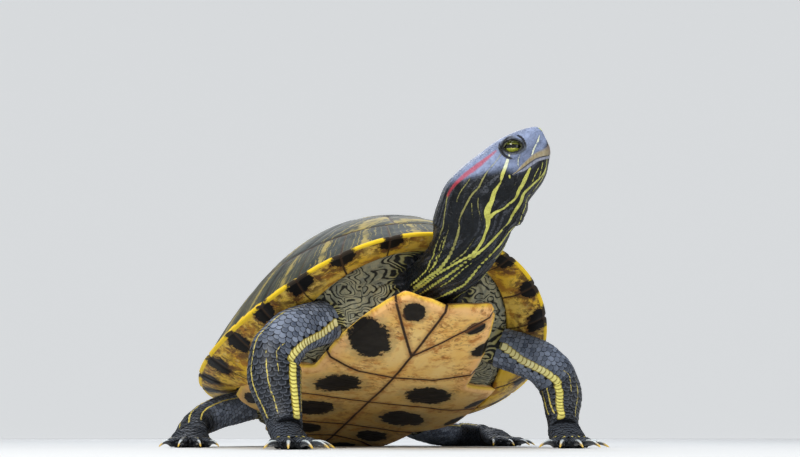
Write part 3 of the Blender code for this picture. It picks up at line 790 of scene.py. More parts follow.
def plastron_paint():
    p = Paint("shell_belly")
    seam, spot, edge, forward = (p.field(n) for n in ("seam", "spot", "edge", "forward"))
    broad, patchy, fine = p.noise(0.020, 4, 0.6), p.noise(0.0058, 5, 0.62), p.noise(0.0018, 4)
    colour = p.mix(p.step(broad, 0.32, 0.70), (0.96, 0.68, 0.260), (0.92, 0.56, 0.150))
    colour = p.mix(p.times(p.step(edge, 11.0, 1.0), 0.75), colour, (0.98, 0.56, 0.240))
    colour = p.mix(p.times(p.step(edge, 1.6, 0.3), 0.8), colour, (0.96, 0.64, 0.045))
    colour = p.mix(p.times(p.step(patchy, 0.50, 0.68), 0.66), colour, (0.60, 0.20, 0.030))
    streak = p.noise(0.0065, 6, 0.72, p.moved((1.0, 1.5, 1.0), (0.0, 0.0, 0.5)), 1.2)
    worn = p.step(p.add(p.noise(0.017, 3, 0.6), p.times(p.step(seam, 7.0, 1.0), 0.12)), 0.50, 0.62)
    colour = p.mix(p.times(p.times(p.step(streak, 0.46, 0.60), worn), 0.75), colour, (0.42, 0.13, 0.020))
    colour = p.mix(
        p.times(p.times(p.step(p.noise(0.0024, 3), 0.55, 0.68), worn), 0.65), colour, (0.20, 0.055, 0.012)
    )
    colour = p.mix(p.times(p.step(forward, 60.0, -20.0), 0.45), colour, (0.34, 0.22, 0.055))
    ragged = p.add(spot, p.times(p.add(p.noise(0.0030, 7, 0.80), -0.5), 0.85))
    ragged = p.add(ragged, p.times(p.add(p.noise(0.0120, 3, 0.6), -0.5), 0.75))
    halo = p.times(p.step(ragged, 1.50, 1.14), 0.40)
    colour = p.mix(halo, colour, (0.34, 0.25, 0.12))
    colour = p.mix(
        p.step(ragged, 1.06, 0.94), colour, p.mix(fine, (0.003, 0.003, 0.003), (0.014, 0.011, 0.009))
    )
    colour = p.mix(p.times(p.step(seam, 3.2, 0.6), 0.50), colour, (0.36, 0.14, 0.04))
    colour = p.mix(
        p.step(p.add(seam, p.times(p.add(fine, -0.5), 0.3)), 0.90, 0.45), colour, (0.040, 0.020, 0.012)
    )
    p.set(Base_Color=colour, Roughness=p.add(0.26, p.times(patchy, 0.20)))
    p.set(Specular_IOR_Level=0.14, Coat_Weight=0.03, Coat_Roughness=0.14)
    p.bump(p.add(p.times(fine, 0.6), p.times(broad, 0.6)), 0.00022, 0.45)
    return p


# ---- neck and head

NECK = (
    # x, y, z, half width, half depth
    (0.0000, -0.0620, 0.0700, 0.0150, 0.0105),
    (-0.0005, -0.0780, 0.0765, 0.0148, 0.0110),
    (-0.0008, -0.0935, 0.0810, 0.0142, 0.0120),
    (-0.0014, -0.1080, 0.0858, 0.0140, 0.0138),
    (-0.0014, -0.1168, 0.0930, 0.0148, 0.0160),
    (-0.0010, -0.1212, 0.0990, 0.0158, 0.0182),
)
NECK_RINGS = 9
HEAD_ROWS = (
    # along, tilt of the row in degrees, half width, up, down, middle height
    (-0.0037, 30, 0.0165, 0.0140, 0.0238, -0.0037),
    (0.0022, 22, 0.0172, 0.0140, 0.0225, -0.0022),
    (0.0084, 16, 0.0174, 0.0140, 0.0200, -0.0017),
    (0.0133, 12, 0.0168, 0.0136, 0.0169, -0.0013),
    (0.0190, 9, 0.0152, 0.0144, 0.0146, -0.0018),
    (0.0250, 4, 0.0130, 0.0135, 0.0132, -0.0014),
    (0.0300, 0, 0.0108, 0.0120, 0.0112, -0.0010),
    (0.0340, -3, 0.0086, 0.0096, 0.0088, 0.0000),
    (0.0370, -6, 0.0062, 0.0070, 0.0068, 0.0012),
    (0.0386, -8, 0.0040, 0.0044, 0.0048, 0.0022),
)
HEAD_AXES = np.array([HEAD_FORWARD, HEAD_LEFT, HEAD_UP])


def head_point(x, y, z):
    return np.array(HEAD_ORIGIN) + np.stack(np.broadcast_arrays(x, y, z), axis=-1) @ HEAD_AXES


def head_local(points):
    return (points - np.array(HEAD_ORIGIN)) @ HEAD_AXES.T


def ring(centre, across, upward, half_width, up, down, sides, squareness=1.0):
    angle = 2 * pi * np.arange(sides) / sides
    x, z = signed_power(np.cos(angle), squareness), signed_power(np.sin(angle), squareness)
    reach = np.where(z > 0, up, down) * z
    return np.asarray(centre) + np.outer(x * half_width, across) + np.outer(reach, upward)


def neck_and_head_rings(sides):
    rows = catmull(NECK, np.linspace(0, len(NECK) - 1, NECK_RINGS))
    centres = [Vector(row[:3]) for row in rows]
    made = []
    for i, row in enumerate(rows):
        ahead = centres[i + 1] if i + 1 < len(centres) else Vector(head_point(-0.0037, 0, -0.0037))
        along = (ahead - centres[max(i - 1, 0)]).normalized()
        blend = max(0.0, (i / (len(rows) - 1) - 0.15) / 0.85) ** 1.2
        lateral = Vector((1, 0, 0)).lerp(HEAD_LEFT, blend)
        lateral = (lateral - along * lateral.dot(along)).normalized()
        made.append(ring(centres[i], lateral, along.cross(lateral), row[3], row[4], row[4], sides, 0.95))
    for along, tilt, half, up, down, middle in HEAD_ROWS:
        lean = radians(tilt)
        row_up = HEAD_UP * cos(lean) - HEAD_FORWARD * sin(lean)
        made.append(ring(head_point(along, 0, middle), HEAD_LEFT, row_up, half, up, down, sides, 0.9))
    return np.array(made)


HEAD_SIDES = 120
NECK_TO_SNOUT = neck_and_head_rings(HEAD_SIDES)
LAST_RING = len(NECK_TO_SNOUT) - 1


# ---- limbs

FORELEGS = {
    "right": {
        "top": (-0.2, -1.0, 0.25),
        "upper": (
            (-0.0330, -0.0460, 0.0630, 0.0105, 0.0085),
            (-0.0470, -0.0540, 0.0590, 0.0105, 0.0085),
            (-0.0640, -0.0600, 0.0530, 0.0112, 0.0090),
            (-0.0735, -0.0625, 0.0420, 0.0118, 0.0090),
        ),
        "lower": (
            (-0.0735, -0.0625, 0.0420, 0.0118, 0.0090),
            (-0.0740, -0.0655, 0.0310, 0.0120, 0.0078),
            (-0.0722, -0.0680, 0.0210, 0.0100, 0.0066),
            (-0.0710, -0.0705, 0.0130, 0.0083, 0.0062),
        ),
        "palm": (-0.0703, -0.0755, 0.0058),
        "heading": radians(-78),
    },
    "left": {
        "top": (0.25, -1.0, 0.25),
        "upper": (
            (0.0330, -0.0480, 0.0540, 0.0105, 0.0085),
            (0.0470, -0.0590, 0.0485, 0.0105, 0.0085),
            (0.0625, -0.0665, 0.0420, 0.0112, 0.0088),
            (0.0710, -0.0680, 0.0335, 0.0116, 0.0088),
        ),
        "lower": (
            (0.0710, -0.0680, 0.0335, 0.0116, 0.0088),
            (0.0725, -0.0700, 0.0255, 0.0114, 0.0078),
            (0.0715, -0.0715, 0.0185, 0.0098, 0.0066),
            (0.0705, -0.0740, 0.0125, 0.0083, 0.0062),
        ),
        "palm": (0.0698, -0.0790, 0.0058),
        "heading": radians(-98),
    },
}
HINDLEGS = {
    "right": {
        "top": (-0.5, 0.3, 1.0),
        "upper": (
            (-0.0380, 0.0470, 0.0280, 0.0120, 0.0080),
            (-0.0500, 0.0520, 0.0225, 0.0125, 0.0080),
            (-0.0640, 0.0540, 0.0190, 0.0120, 0.0082),
            (-0.0740, 0.0530, 0.0150, 0.0110, 0.0078),
        ),
        "lower": (
            (-0.0740, 0.0530, 0.0150, 0.0110, 0.0078),
            (-0.0800, 0.0500, 0.0115, 0.0100, 0.0070),
            (-0.0835, 0.0450, 0.0090, 0.0092, 0.0060),
            (-0.0855, 0.0390, 0.0068, 0.0090, 0.0052),
        ),
        "palm": (-0.0870, 0.0330, 0.0048),
        "heading": radians(-104),
    },
    "left": {
        "top": (0.5, 0.3, 1.0),
        "upper": (
            (0.0400, 0.0500, 0.0160, 0.0120, 0.0070),
            (0.0520, 0.0555, 0.0105, 0.0125, 0.0062),
            (0.0650, 0.0590, 0.0072, 0.0118, 0.0058),
            (0.0750, 0.0590, 0.0064, 0.0108, 0.0056),
        ),
        "lower": (
            (0.0750, 0.0590, 0.0064, 0.0108, 0.0056),
            (0.0820, 0.0560, 0.0062, 0.0100, 0.0056),
            (0.0865, 0.0510, 0.0058, 0.0092, 0.0053),
            (0.0895, 0.0450, 0.0054, 0.0090, 0.0050),
        ),
        "palm": (0.0915, 0.0390, 0.0048),
        "heading": radians(-76),
    },
}
FORE_FOOT = {
    "palm_rows": (
        (-0.0020, 0.0086, 0.0050, 0.0072),
        (0.0030, 0.0088, 0.0042, 0.0038),
        (0.0070, 0.0082, 0.0030, 0.0027),
        (0.0090, 0.0060, 0.0018, 0.0022),
    ),
    "toes": (-62, -31, -3, 24, 52),
    "root": 0.0060,
    "toe_height": 0.0024,
    "toe_lengths": (0.0050, 0.0062, 0.0068, 0.0062, 0.0050),
    "toe_radius": 0.0027,
    "claw": 0.0100,
    "claw_radius": 0.00165,
}
HIND_FOOT = {
    "palm_rows": (
        (-0.0010, 0.0092, 0.0046, 0.0052),
        (0.0045, 0.0100, 0.0036, 0.0033),
        (0.0095, 0.0098, 0.0026, 0.0023),
        (0.0120, 0.0070, 0.0016, 0.0020),
    ),
    "toes": (-44, -15, 12, 38),
    "root": 0.0090,
    "toe_height": 0.0023,
    "toe_lengths": (0.0062, 0.0076, 0.0078, 0.0066),
    "toe_radius": 0.0026,
    "claw": 0.0075,
    "claw_radius": 0.00145,
}
TAIL = (
    # x, y, z, half width, half depth
    (-0.0010, 0.0620, 0.0240, 0.0110, 0.0080),
    (-0.0015, 0.0780, 0.0175, 0.0095, 0.0075),
    (-0.0050, 0.0930, 0.0105, 0.0066, 0.0056),
    (-0.0115, 0.1050, 0.0046, 0.0040, 0.0036),
    (-0.0195, 0.1140, 0.0014, 0.0016, 0.0016),
)
LIMB_RINGS = 7


def limb_rings(stations, top_side, rings, sides):
    rows = catmull(stations, np.linspace(0, len(stations) - 1, rings))
    centres = [Vector(row[:3]) for row in rows]
    made = []
    for i, row in enumerate(rows):
        along = (centres[min(i + 1, rings - 1)] - centres[max(i - 1, 0)]).normalized()
        across = along.cross(Vector(top_side)).normalized()
        made.append(ring(centres[i], across, across.cross(along).normalized(), row[3], row[4], row[4], sides))
    return np.array(made)


def aligned_ring(like, centre, aside, half, tall):
    """A flat oval ring whose points pair up with those of the ring before it."""
    middle = like.mean(axis=0)
    offset = like - middle
    sideways = (offset * (offset @ aside)[:, None]).sum(axis=0)
    sideways /= np.linalg.norm(sideways)
    upward = offset[len(like) // 4] / np.linalg.norm(offset[len(like) // 4])
    angle = np.arctan2(offset @ upward, offset @ sideways)
    return centre + np.outer(half * np.cos(angle), aside) + np.outer(tall * np.sin(angle), (0, 0, 1))


class Limb:
    """A leg's rings from the root to the palm's front, its toes and its claws."""

    SIDES = 56

    def __init__(self, name, facts, size):
        self.name, self.facts, self.size = name, facts, size
        upper = limb_rings(facts["upper"], facts["top"], LIMB_RINGS, self.SIDES)
        lower = limb_rings(facts["lower"], facts["top"], LIMB_RINGS, self.SIDES)
        lower[0] = upper[-1]
        self.palm = np.array(facts["palm"])
        heading = facts["heading"]
        self.ahead = np.array([cos(heading), sin(heading), 0])
        self.aside = np.array([-self.ahead[1], self.ahead[0], 0])
        feet = []
        for reach, half, tall, height in size["palm_rows"]:
            middle = np.array([self.palm[0], self.palm[1], height]) + self.ahead * reach
            feet.append(aligned_ring(lower[-1], middle, self.aside, half, tall))
        self.rings = np.concatenate([upper, lower[1:], feet])
        self.wrist = 2 * LIMB_RINGS - 2
        self.toes = []
        for degrees, length in zip(size["toes"], size["toe_lengths"]):
            direction = heading + radians(degrees)
            along = np.array([cos(direction), sin(direction), 0])
            root = self.palm + along * size["root"]
            root[2] = size["toe_height"] + 0.0005
            tip = root + along * length
            tip[2] = size["toe_height"]
            self.toes.append((root, tip, along))

    def dense(self, per_ring=5):
        return catmull(self.rings, np.linspace(0, len(self.rings) - 1, (len(self.rings) - 1) * per_ring + 1))

    def at(self, station, degrees):
        """A point of the leg's surface; degrees are counted from the middle of its top side."""
        turned = ((90 + degrees) % 360) / 360 * self.SIDES
        low = int(turned) % self.SIDES
        row = catmull(self.rings, station)[0]
        share = turned - int(turned)
        return row[low] * (1 - share) + row[(low + 1) % self.SIDES] * share

    def toe_parts(self):
        radius = self.size["toe_radius"]
        for root, tip, _ in self.toes:
            slope = Vector(tip - root).normalized()
            across = slope.cross(Vector((0, 0, 1))).normalized()
            upward = across.cross(slope)
            rings = []
            for share, wide in (
                (-0.35, 0.75), (0.1, 1.0), (0.4, 0.95), (0.7, 1.02), (0.9, 0.92), (1.0, 0.72)
            ):
                centre = root + (tip - root) * share
                rings.append(ring(centre, across, upward, radius * wide, radius * wide, radius * wide, 20))
            yield loft_parts(catmull(rings, np.linspace(0, 5, 16)))


LIMBS = [Limb(f"foreleg_{side}", facts, FORE_FOOT) for side, facts in FORELEGS.items()]
LIMBS += [Limb(f"hindleg_{side}", facts, HIND_FOOT) for side, facts in HINDLEGS.items()]


# ---- the skin, made as one


def turned_body(profiles):
    """(points, faces) of profiles, one for each angle round the shell, closed at both ends."""
    profiles = np.asarray(profiles)
    turns, steps = profiles.shape[:2]
    points = profiles.transpose(1, 0, 2).reshape(-1, 3)
    faces = grid_faces(steps, turns, around=True)
    faces.append(list(range(turns))[::-1])
    faces.append([(steps - 1) * turns + k for k in range(turns)])
    return points, faces


def trunk_parts():
    """The soft body behind the shell's openings, as in the solids."""
    angles = np.linspace(0, 2 * pi, 180, endpoint=False)
    c = np.cos(angles)
    inner_reach, inner_height = band(angles)
    forward, side, _ = rim(angles)
    radius = np.hypot(forward, side)
    setback = 0.020 + 0.13 * np.maximum(0, c) ** 1.5 + 0.10 * np.maximum(0, -c) ** 1.5
    wall_reach = inner_reach - 0.0012 / radius
    foot_reach = inner_reach - 0.028 - setback
    steps = []
    for share in (0.02, 0.3, 0.55, 0.8, 0.94):
        f, s, h = dome(angles, wall_reach * share)
        steps.append(shell_point(f, s, h - BONE - 0.0030))
    steps.append(shell_point(forward * wall_reach, side * wall_reach, inner_height + 0.0075))
    steps.append(shell_point(forward * wall_reach, side * wall_reach, inner_height + 0.0012))
    for share in (0.30, 0.65):
        reach = wall_reach * (1 - share) + foot_reach * share
        f, s = forward * reach, side * reach
        low = plastron_bottom(f, s) + PLASTRON_THICKNESS
        steps.append(shell_point(f, s, (inner_height + 0.001) * (1 - share) + low * share + 0.0035 * share))
    for share in (1.0, 0.8, 0.5, 0.02):
        f, s = forward * foot_reach * share, side * foot_reach * share
        steps.append(shell_point(f, s, plastron_bottom(f, s) + PLASTRON_THICKNESS - 0.0003))
    return turned_body(np.array(steps).transpose(1, 0, 2))


LID_RADIUS = EYE_RADIUS + 0.00075
EYE_TILT = radians(-27)
LOOK_TILT = radians(-33)
APERTURE = (0.00375, 0.00245)


def eye_frame(sign):
    """(centre, outward, along the lids, across the lids) of one eye; sign is 1 for the left."""
    x, y, z = EYE_PLACE
    outward = (HEAD_LEFT * sign * 0.985 + HEAD_FORWARD * 0.16 + HEAD_UP * 0.06).normalized()
    ahead = (HEAD_FORWARD * cos(EYE_TILT) + HEAD_UP * sin(EYE_TILT)).normalized()
    ahead = (ahead - outward * ahead.dot(outward)).normalized()
    over = outward.cross(ahead) * sign * -1
    if over.dot(HEAD_UP) < 0:
        over = -over
    return Vector(head_point(x, sign * y, z)), outward, ahead, over


def almond(sign):
    """(points, faces) of the cutter that opens the lids: an almond run inwards past the eyeball's edge."""
    centre, outward, ahead, over = eye_frame(sign)
    outline = []
    for k in range(48):
        angle = 2 * pi * k / 48
        x = signed_power(cos(angle), 0.9)
        z = sin(angle) * (1.0 if sin(angle) > 0 else 0.94) * (1 - 0.18 * abs(x) ** 3)
        outline.append(np.array(ahead) * x * APERTURE[0] + np.array(over) * z * APERTURE[1])
    rings = []
    for depth, grow in ((0.0010, 1.0), (0.0030, 1.0), (0.0040, 1.02), (0.0052, 1.12), (0.0075, 1.3)):
        rings.append(np.array(centre + outward * depth) + np.array(outline) * grow)
    return loft_parts(rings)


def ball_parts(centre, radius, rows=40, sides=64):
    rings = []
    for k in range(1, rows):
        polar = pi * k / rows
        around = 2 * pi * np.arange(sides) / sides
        circle = np.stack(
            [np.cos(around) * sin(polar), np.sin(around) * sin(polar), np.full(sides, cos(polar))], axis=1
        )
        rings.append(np.array(centre) + circle * radius)
    return loft_parts(rings)


def cut(obj, cutter, operation="DIFFERENCE"):
    modifier = obj.modifiers.new("cut", "BOOLEAN")
    modifier.operation = operation
    modifier.object = cutter
    apply_modifiers(obj)
    bpy.data.objects.remove(cutter, do_unlink=True)


def make_head_solid():
    """Neck and head in one, with the lids' bulges and openings and the nostrils."""
    stations = np.linspace(0, LAST_RING, LAST_RING * 6 + 1)
    head = face_out(mesh_object("head_solid", *loft_parts(catmull(NECK_TO_SNOUT, stations)), shift=False))
    for sign in (1, -1):
        centre = eye_frame(sign)[0]
        bulge = face_out(mesh_object("lid_bulge", *ball_parts(centre, LID_RADIUS), shift=False))
        cut(head, bulge, "UNION")
    for sign in (1, -1):
        cut(head, face_out(mesh_object("lid_cutter", *almond(sign), shift=False)))
        nostril = head_point(NOSTRIL[0] + 0.0006, sign * NOSTRIL[1], NOSTRIL[2])
        cut(head, face_out(mesh_object("nostril_cutter", *ball_parts(nostril, 0.00085, 16, 20), shift=False)))
    points = points_of(head)
    faces = [list(face.vertices) for face in head.data.polygons]
    bpy.data.objects.remove(head, do_unlink=True)
    return points, faces


def spread(edges, values, count):
    """Mean of each point's neighbours."""
    a, b = edges[:, 0], edges[:, 1]
    degree = np.bincount(a, minlength=count) + np.bincount(b, minlength=count)
    total = np.stack(
        [
            np.bincount(a, values[b, k], count) + np.bincount(b, values[a, k], count)
            for k in range(values.shape[1])
        ],
        axis=1
    )
    return total / np.maximum(degree, 1)[:, None]


def smoothed(points, edges, weight, rounds):
    for _ in range(rounds):
        points = points + weight[:, None] * 0.5 * (spread(edges, points, len(points)) - points)
    return points


def edges_of(obj):
    flat = np.empty(len(obj.data.edges) * 2, np.int32)
    obj.data.edges.foreach_get("vertices", flat)
    return flat.reshape(-1, 2)


def make_skin():
    parts = [trunk_parts(), make_head_solid()]
    for limb in LIMBS:
        parts.append(loft_parts(limb.dense()))
        parts += list(limb.toe_parts())
    parts.append(loft_parts(catmull(limb_rings(TAIL, (0, 0, 1), 9, 40), np.linspace(0, 8, 60))))
    skin = joined("skin", parts, shift=False)
    remesh = skin.modifiers.new("remesh", "REMESH")
    remesh.mode = "VOXEL"
    remesh.voxel_size = SKIN_VOXEL
    apply_modifiers(skin)
    return skin




# ---- where each point of the skin lies on the body


class Loft:
    """A smooth surface through rings. Places on it are (station, degrees): the station counts the rings, and
    the degrees go round from the middle of the upper side."""

    def __init__(self, rings):
        self.rings = np.asarray(rings)
        self.sides = self.rings.shape[1]
        self.last = len(self.rings) - 1
        steps = self.last * 40 + 1
        self.fine = catmull(self.rings, np.linspace(0, self.last, steps))
        self.middle = self.fine.mean(axis=1)

    def at(self, station, degrees):
        station, degrees = np.broadcast_arrays(np.asarray(station, float), np.asarray(degrees, float))
        row = np.clip(station * 40, 0, len(self.fine) - 1.001)
        column = ((90 + degrees) % 360) / 360 * self.sides
        i, j = row.astype(int), column.astype(int) % self.sides
        u, v = (row - i)[..., None], (column - column.astype(int))[..., None]
        k = (j + 1) % self.sides
        low = self.fine[i, j] * (1 - v) + self.fine[i, k] * v
        high = self.fine[i + 1, j] * (1 - v) + self.fine[i + 1, k] * v
        return low * (1 - u) + high * u

    def out(self, station, degrees):
        """Unit normals."""
        ahead = self.at(np.asarray(station) + 0.12, degrees) - self.at(np.asarray(station) - 0.12, degrees)
        aside = self.at(station, np.asarray(degrees) + 3) - self.at(station, np.asarray(degrees) - 3)
        normal = np.cross(ahead, aside)
        row = np.clip(
            np.broadcast_to(np.asarray(station, float), normal.shape[:-1]) * 40, 0, len(self.fine) - 1
        ).astype(int)
        outward = self.at(station, degrees) - self.middle[row]
        normal *= np.sign((normal * outward).sum(axis=-1))[..., None]
        return normal / np.maximum(np.linalg.norm(normal, axis=-1), 1e-12)[..., None]

    def samples(self, step, turns):
        station, degrees = np.meshgrid(
            np.arange(0, self.last, step), np.linspace(-180, 180, turns, endpoint=False), indexing="ij"
        )
        return self.at(station, degrees).reshape(-1, 3), station.ravel(), degrees.ravel()


HEAD_LOFT = Loft(NECK_TO_SNOUT)
LEG_LOFTS = [Loft(limb.rings) for limb in LIMBS]
TAIL_LOFT = Loft(limb_rings(TAIL, (0, 0, 1), 9, 40))
TRUNK, NECK_HEAD, FIRST_LEG, TAIL_REGION = 0, 1, 2, 6


def places_on_body(points):
    """(region, station, degrees) of each point, from the nearest sample of the body's lofts."""
    clouds = [(trunk_parts()[0], None, None)]
    clouds += [loft.samples(0.12, 90) for loft in [HEAD_LOFT] + LEG_LOFTS + [TAIL_LOFT]]
    where, region, station, degrees = [], [], [], []
    for number, (cloud, t, d) in enumerate(clouds):
        where.append(cloud)
        region.append(np.full(len(cloud), number))
        station.append(np.zeros(len(cloud)) if t is None else t)
        degrees.append(np.zeros(len(cloud)) if d is None else d)
    where, region, station, degrees = (np.concatenate(v) for v in (where, region, station, degrees))
    tree = KDTree(len(where))
    for i, point in enumerate(where.tolist()):
        tree.insert(point, i)
    tree.balance()
    nearest = np.array([tree.find(point)[1] for point in points.tolist()])
    return region[nearest], station[nearest], degrees[nearest]


def bump_at(local, centre, radius):
    """1 at a place of the head, falling off smoothly; both sides of the head alike."""
    offset = np.stack([local[:, 0], np.abs(local[:, 1]), local[:, 2]], axis=1) - np.array(centre) * MM
    return np.exp(-((np.linalg.norm(offset, axis=1) / (radius * MM)) ** 2))


def line_on_head(local, line, width):
    """1 on a line drawn on the head's side, given as (x, z) in mm, falling off to its sides."""
    distance = line_distance(local[:, [0, 2]], np.array(line) * MM)
    return np.exp(-((distance / (width * MM)) ** 2))


def on_a_leg(region):
    return (region >= FIRST_LEG) & (region < TAIL_REGION)


def from_nostril(local):
    """Metres from the nearer nostril, for points in the head's own frame."""
    offset = np.stack([local[:, 0], np.abs(local[:, 1]), local[:, 2]], axis=1) - NOSTRIL
    return np.linalg.norm(offset, axis=1)


def round_the_eyes(local):
    """(mm from the middle of the eye's opening, degrees from straight ahead) in the plane of the head's side;
    far off, the distance is large."""
    away, angle = np.full(len(local), 99.0), np.zeros(len(local))
    for sign in (1, -1):
        centre, outward, _, _ = eye_frame(sign)
        middle = head_local(np.array(centre) + np.array(outward) * 0.0046)
        offset = local - middle
        near = (np.sign(local[:, 1]) == sign) & (np.abs(offset[:, 1]) < 0.006)
        away = np.where(near, np.hypot(offset[:, 0], offset[:, 2]) * MILLI, away)
        angle = np.where(near, np.degrees(np.arctan2(offset[:, 2], offset[:, 0])), angle)
    return away, angle


def lid_crease(local):
    """1 in the folds before and behind the lids."""
    away, angle = round_the_eyes(local)
    front = np.exp(-(((angle - 8) / 42) ** 4)) * np.exp(-(((away - 5.5) / 0.46) ** 2))
    rear = np.exp(-(((np.mod(angle, 360) - 182) / 50) ** 4)) * np.exp(-(((away - 5.7) / 0.55) ** 2))
    return np.maximum(front, rear)


def head_relief(local):
    """How far the head's skin stands off its loft, in mm: muscles, lids, creases and folds."""
    height = 0.9 * bump_at(local, (8.5, 16, -6), 6.5)
    height -= 0.55 * bump_at(local, (31, 9.0, 4.0), 3.4)
    height += 0.45 * bump_at(local, (34, 5.5, 7.6), 2.4)
    height -= 0.35 * bump_at(local, (18.5, 12.5, 4.0), 3.0)
    height += 0.55 * bump_at(local, (22.5, 10.5, 11.2), 3.0)
    disc = np.linalg.norm(local[:, [0, 2]] - np.array((10.5, 0.5)) * MM, axis=1) / MM
    side = smoothstep(9 * MM, 12 * MM, np.abs(local[:, 1]))
    height += side * (0.22 * np.exp(-(((disc - 3.4) / 0.55) ** 2)) - 0.16 * np.exp(-((disc / 2.8) ** 2)))
    away, angle = round_the_eyes(local)
    swell = np.exp(-(((angle - 75) / 60) ** 2))
    height += 0.42 * swell * np.exp(-(((away - 4.4) / 1.3) ** 2)) - 0.85 * lid_crease(local)
    height += 0.30 * np.exp(-(((away - 6.4) / 0.8) ** 2)) * np.exp(-(((np.mod(angle, 360) - 190) / 60) ** 2))
    behind_mouth = ((18.2, -4.4), (16.2, -5.6), (14.6, -7.6))
    height -= side * 0.65 * line_on_head(local, behind_mouth, 0.55)
    height += side * 0.45 * line_on_head(local, ((17.2, -6.6), (15.6, -8.4)), 0.8)
    height -= side * 0.30 * line_on_head(local, ((14.0, -9.5), (12.0, -13.5), (9.0, -16.5)), 0.7)
    return height


def skin_relief(points, region, station, degrees):
    """How far the skin is pushed out of its smooth shape, in metres."""
    local = head_local(points)
    on_neck_head = region == NECK_HEAD
    on_head = on_neck_head & (station > 9.5)
    relief = np.zeros(len(points))
    relief += np.where(on_head, head_relief(local) * smoothstep(9.5, 11.0, station), 0) * MM
    # lengthwise folds of the neck, deeper towards the shell, and a few creases across the throat
    ribs = np.stack([station * 0.50, degrees / 11.0, np.zeros(len(points))], axis=1)
    lengthwise = 0.8 - np.abs(noise(ribs, 1.0, 31)) * 1.8 - np.abs(noise(ribs, 0.5, 33)) * 0.7
    deep = 0.34 + 0.50 * (1 - smoothstep(3.5, 7.0, station))
    relief += (
        np.where(on_neck_head & (station < 11), lengthwise * deep * (1 - smoothstep(8.5, 11.0, station)), 0)
        * MM
    )
    rings = np.stack([station * 2.6, degrees / 60.0, np.ones(len(points))], axis=1)
    crossing = -np.exp(-((noise(rings, 1.0, 37) / 0.13) ** 2))
    throat = (
        smoothstep(95, 150, np.abs(degrees)) * smoothstep(4.0, 6.0, station)
        * (1 - smoothstep(11.0, 13.5, station))
    )
    relief += np.where(on_neck_head, 0.32 * crossing * (0.25 + throat), 0) * MM
    # loose folds in the shell's openings, running round the neck and the legs
    loose = region == TRUNK
    flow = points + 0.004 * np.stack([noise(points, 0.012, s) for s in (41, 42, 43)], axis=1)
    from_neck = np.linalg.norm((flow - np.array((0.0, -0.070, 0.070))) * (0.75, 1.0, 1.35), axis=1)
    folds = (
        np.sin(from_neck * 2 * pi / 0.0046) * 0.5
        + np.sin(from_neck * 2 * pi / 0.0027 + 2 * noise(points, 0.009, 44)) * 0.25
    )
    relief += np.where(loose, folds * 0.85, 0) * MM
    # creases at the bends of the legs
    on_leg = on_a_leg(region)
    bend = np.exp(-(((station - 6.0) / 1.6) ** 2)) + 0.5 * (1 - smoothstep(1.0, 3.5, station))
    bands = noise(np.stack([station * 2.4, degrees / 45.0, region], axis=1), 1.0, 47)
    relief += np.where(on_leg, 0.35 * bend * bands, 0) * MM
    relief += np.where(on_leg & (station > 12.5), 0.10 * noise(points, 0.0016, 51), 0) * MM
    relief += 0.05 * MM * noise(points, 0.0013, 53)
    scaly = on_leg | (region == TAIL_REGION)
    return relief - np.where(scaly, SCALE_DEPTH, 0)


def thin_out_hidden(obj, region):
    """Coarser faces where the shell hides the skin."""
    points = points_of(obj)
    shell = (points - SHELL_LIFT) @ SHELL_TURN
    forward, side, height = -shell[:, 1], shell[:, 0], shell[:, 2]
    inside = (np.abs(forward) < 0.064) & (np.abs(side) < 0.056) & (height > -0.0245)
    deep = (region == TRUNK) & (np.abs(forward) < 0.072) & (height > 0.004)
    hidden = inside | deep
    group = obj.vertex_groups.new(name="spare")
    group.add(np.nonzero(hidden)[0].tolist(), 1.0, "REPLACE")
    modifier = obj.modifiers.new("thin", "DECIMATE")
    modifier.ratio = 1 - 0.93 * float(hidden.mean())
    modifier.vertex_group = "spare"
    modifier.vertex_group_factor = 10.0
    apply_modifiers(obj)
    obj.vertex_groups.clear()


def shape_skin(obj):
    points = points_of(obj)
    edges = edges_of(obj)
    region, station, degrees = places_on_body(points)
    local = head_local(points)
    points = smoothed(points, edges, np.full(len(points), 0.6), 3)
    # where the parts join, the skin flows from one to the next
    root = np.where(region == NECK_HEAD, 1 - smoothstep(2.0, 4.2, station), 0)
    root = np.maximum(root, np.where(on_a_leg(region), 1 - smoothstep(1.2, 3.2, station), 0))
    root = np.maximum(root, np.where(region == TAIL_REGION, 1 - smoothstep(0.5, 2.5, station), 0))
    near_root = (region == TRUNK) * 0.8
    palm = np.where(on_a_leg(region), smoothstep(11.0, 12.5, station) * 0.5, 0)
    points = smoothed(points, edges, np.maximum(root, near_root), 22)
    points = smoothed(points, edges, palm, 5)
    snout = np.where(local[:, 0] > 0.0355, 0.9, 0) * (from_nostril(local) > 0.0016)
    jaw_joint = np.where((region == NECK_HEAD) & (station > 6.5) & (station < 10.8), 0.9, 0)
    points = smoothed(points, edges, np.maximum(snout, jaw_joint), 14)
    set_points(obj, points)
    points = points + normals_of(obj) * skin_relief(points, region, station, degrees)[:, None]
    points[:, 2] = np.maximum(points[:, 2], 0.0)
    set_points(obj, points)
    thin_out_hidden(obj, region)
    return obj


# ---- markings of the skin, the same on skin and scales

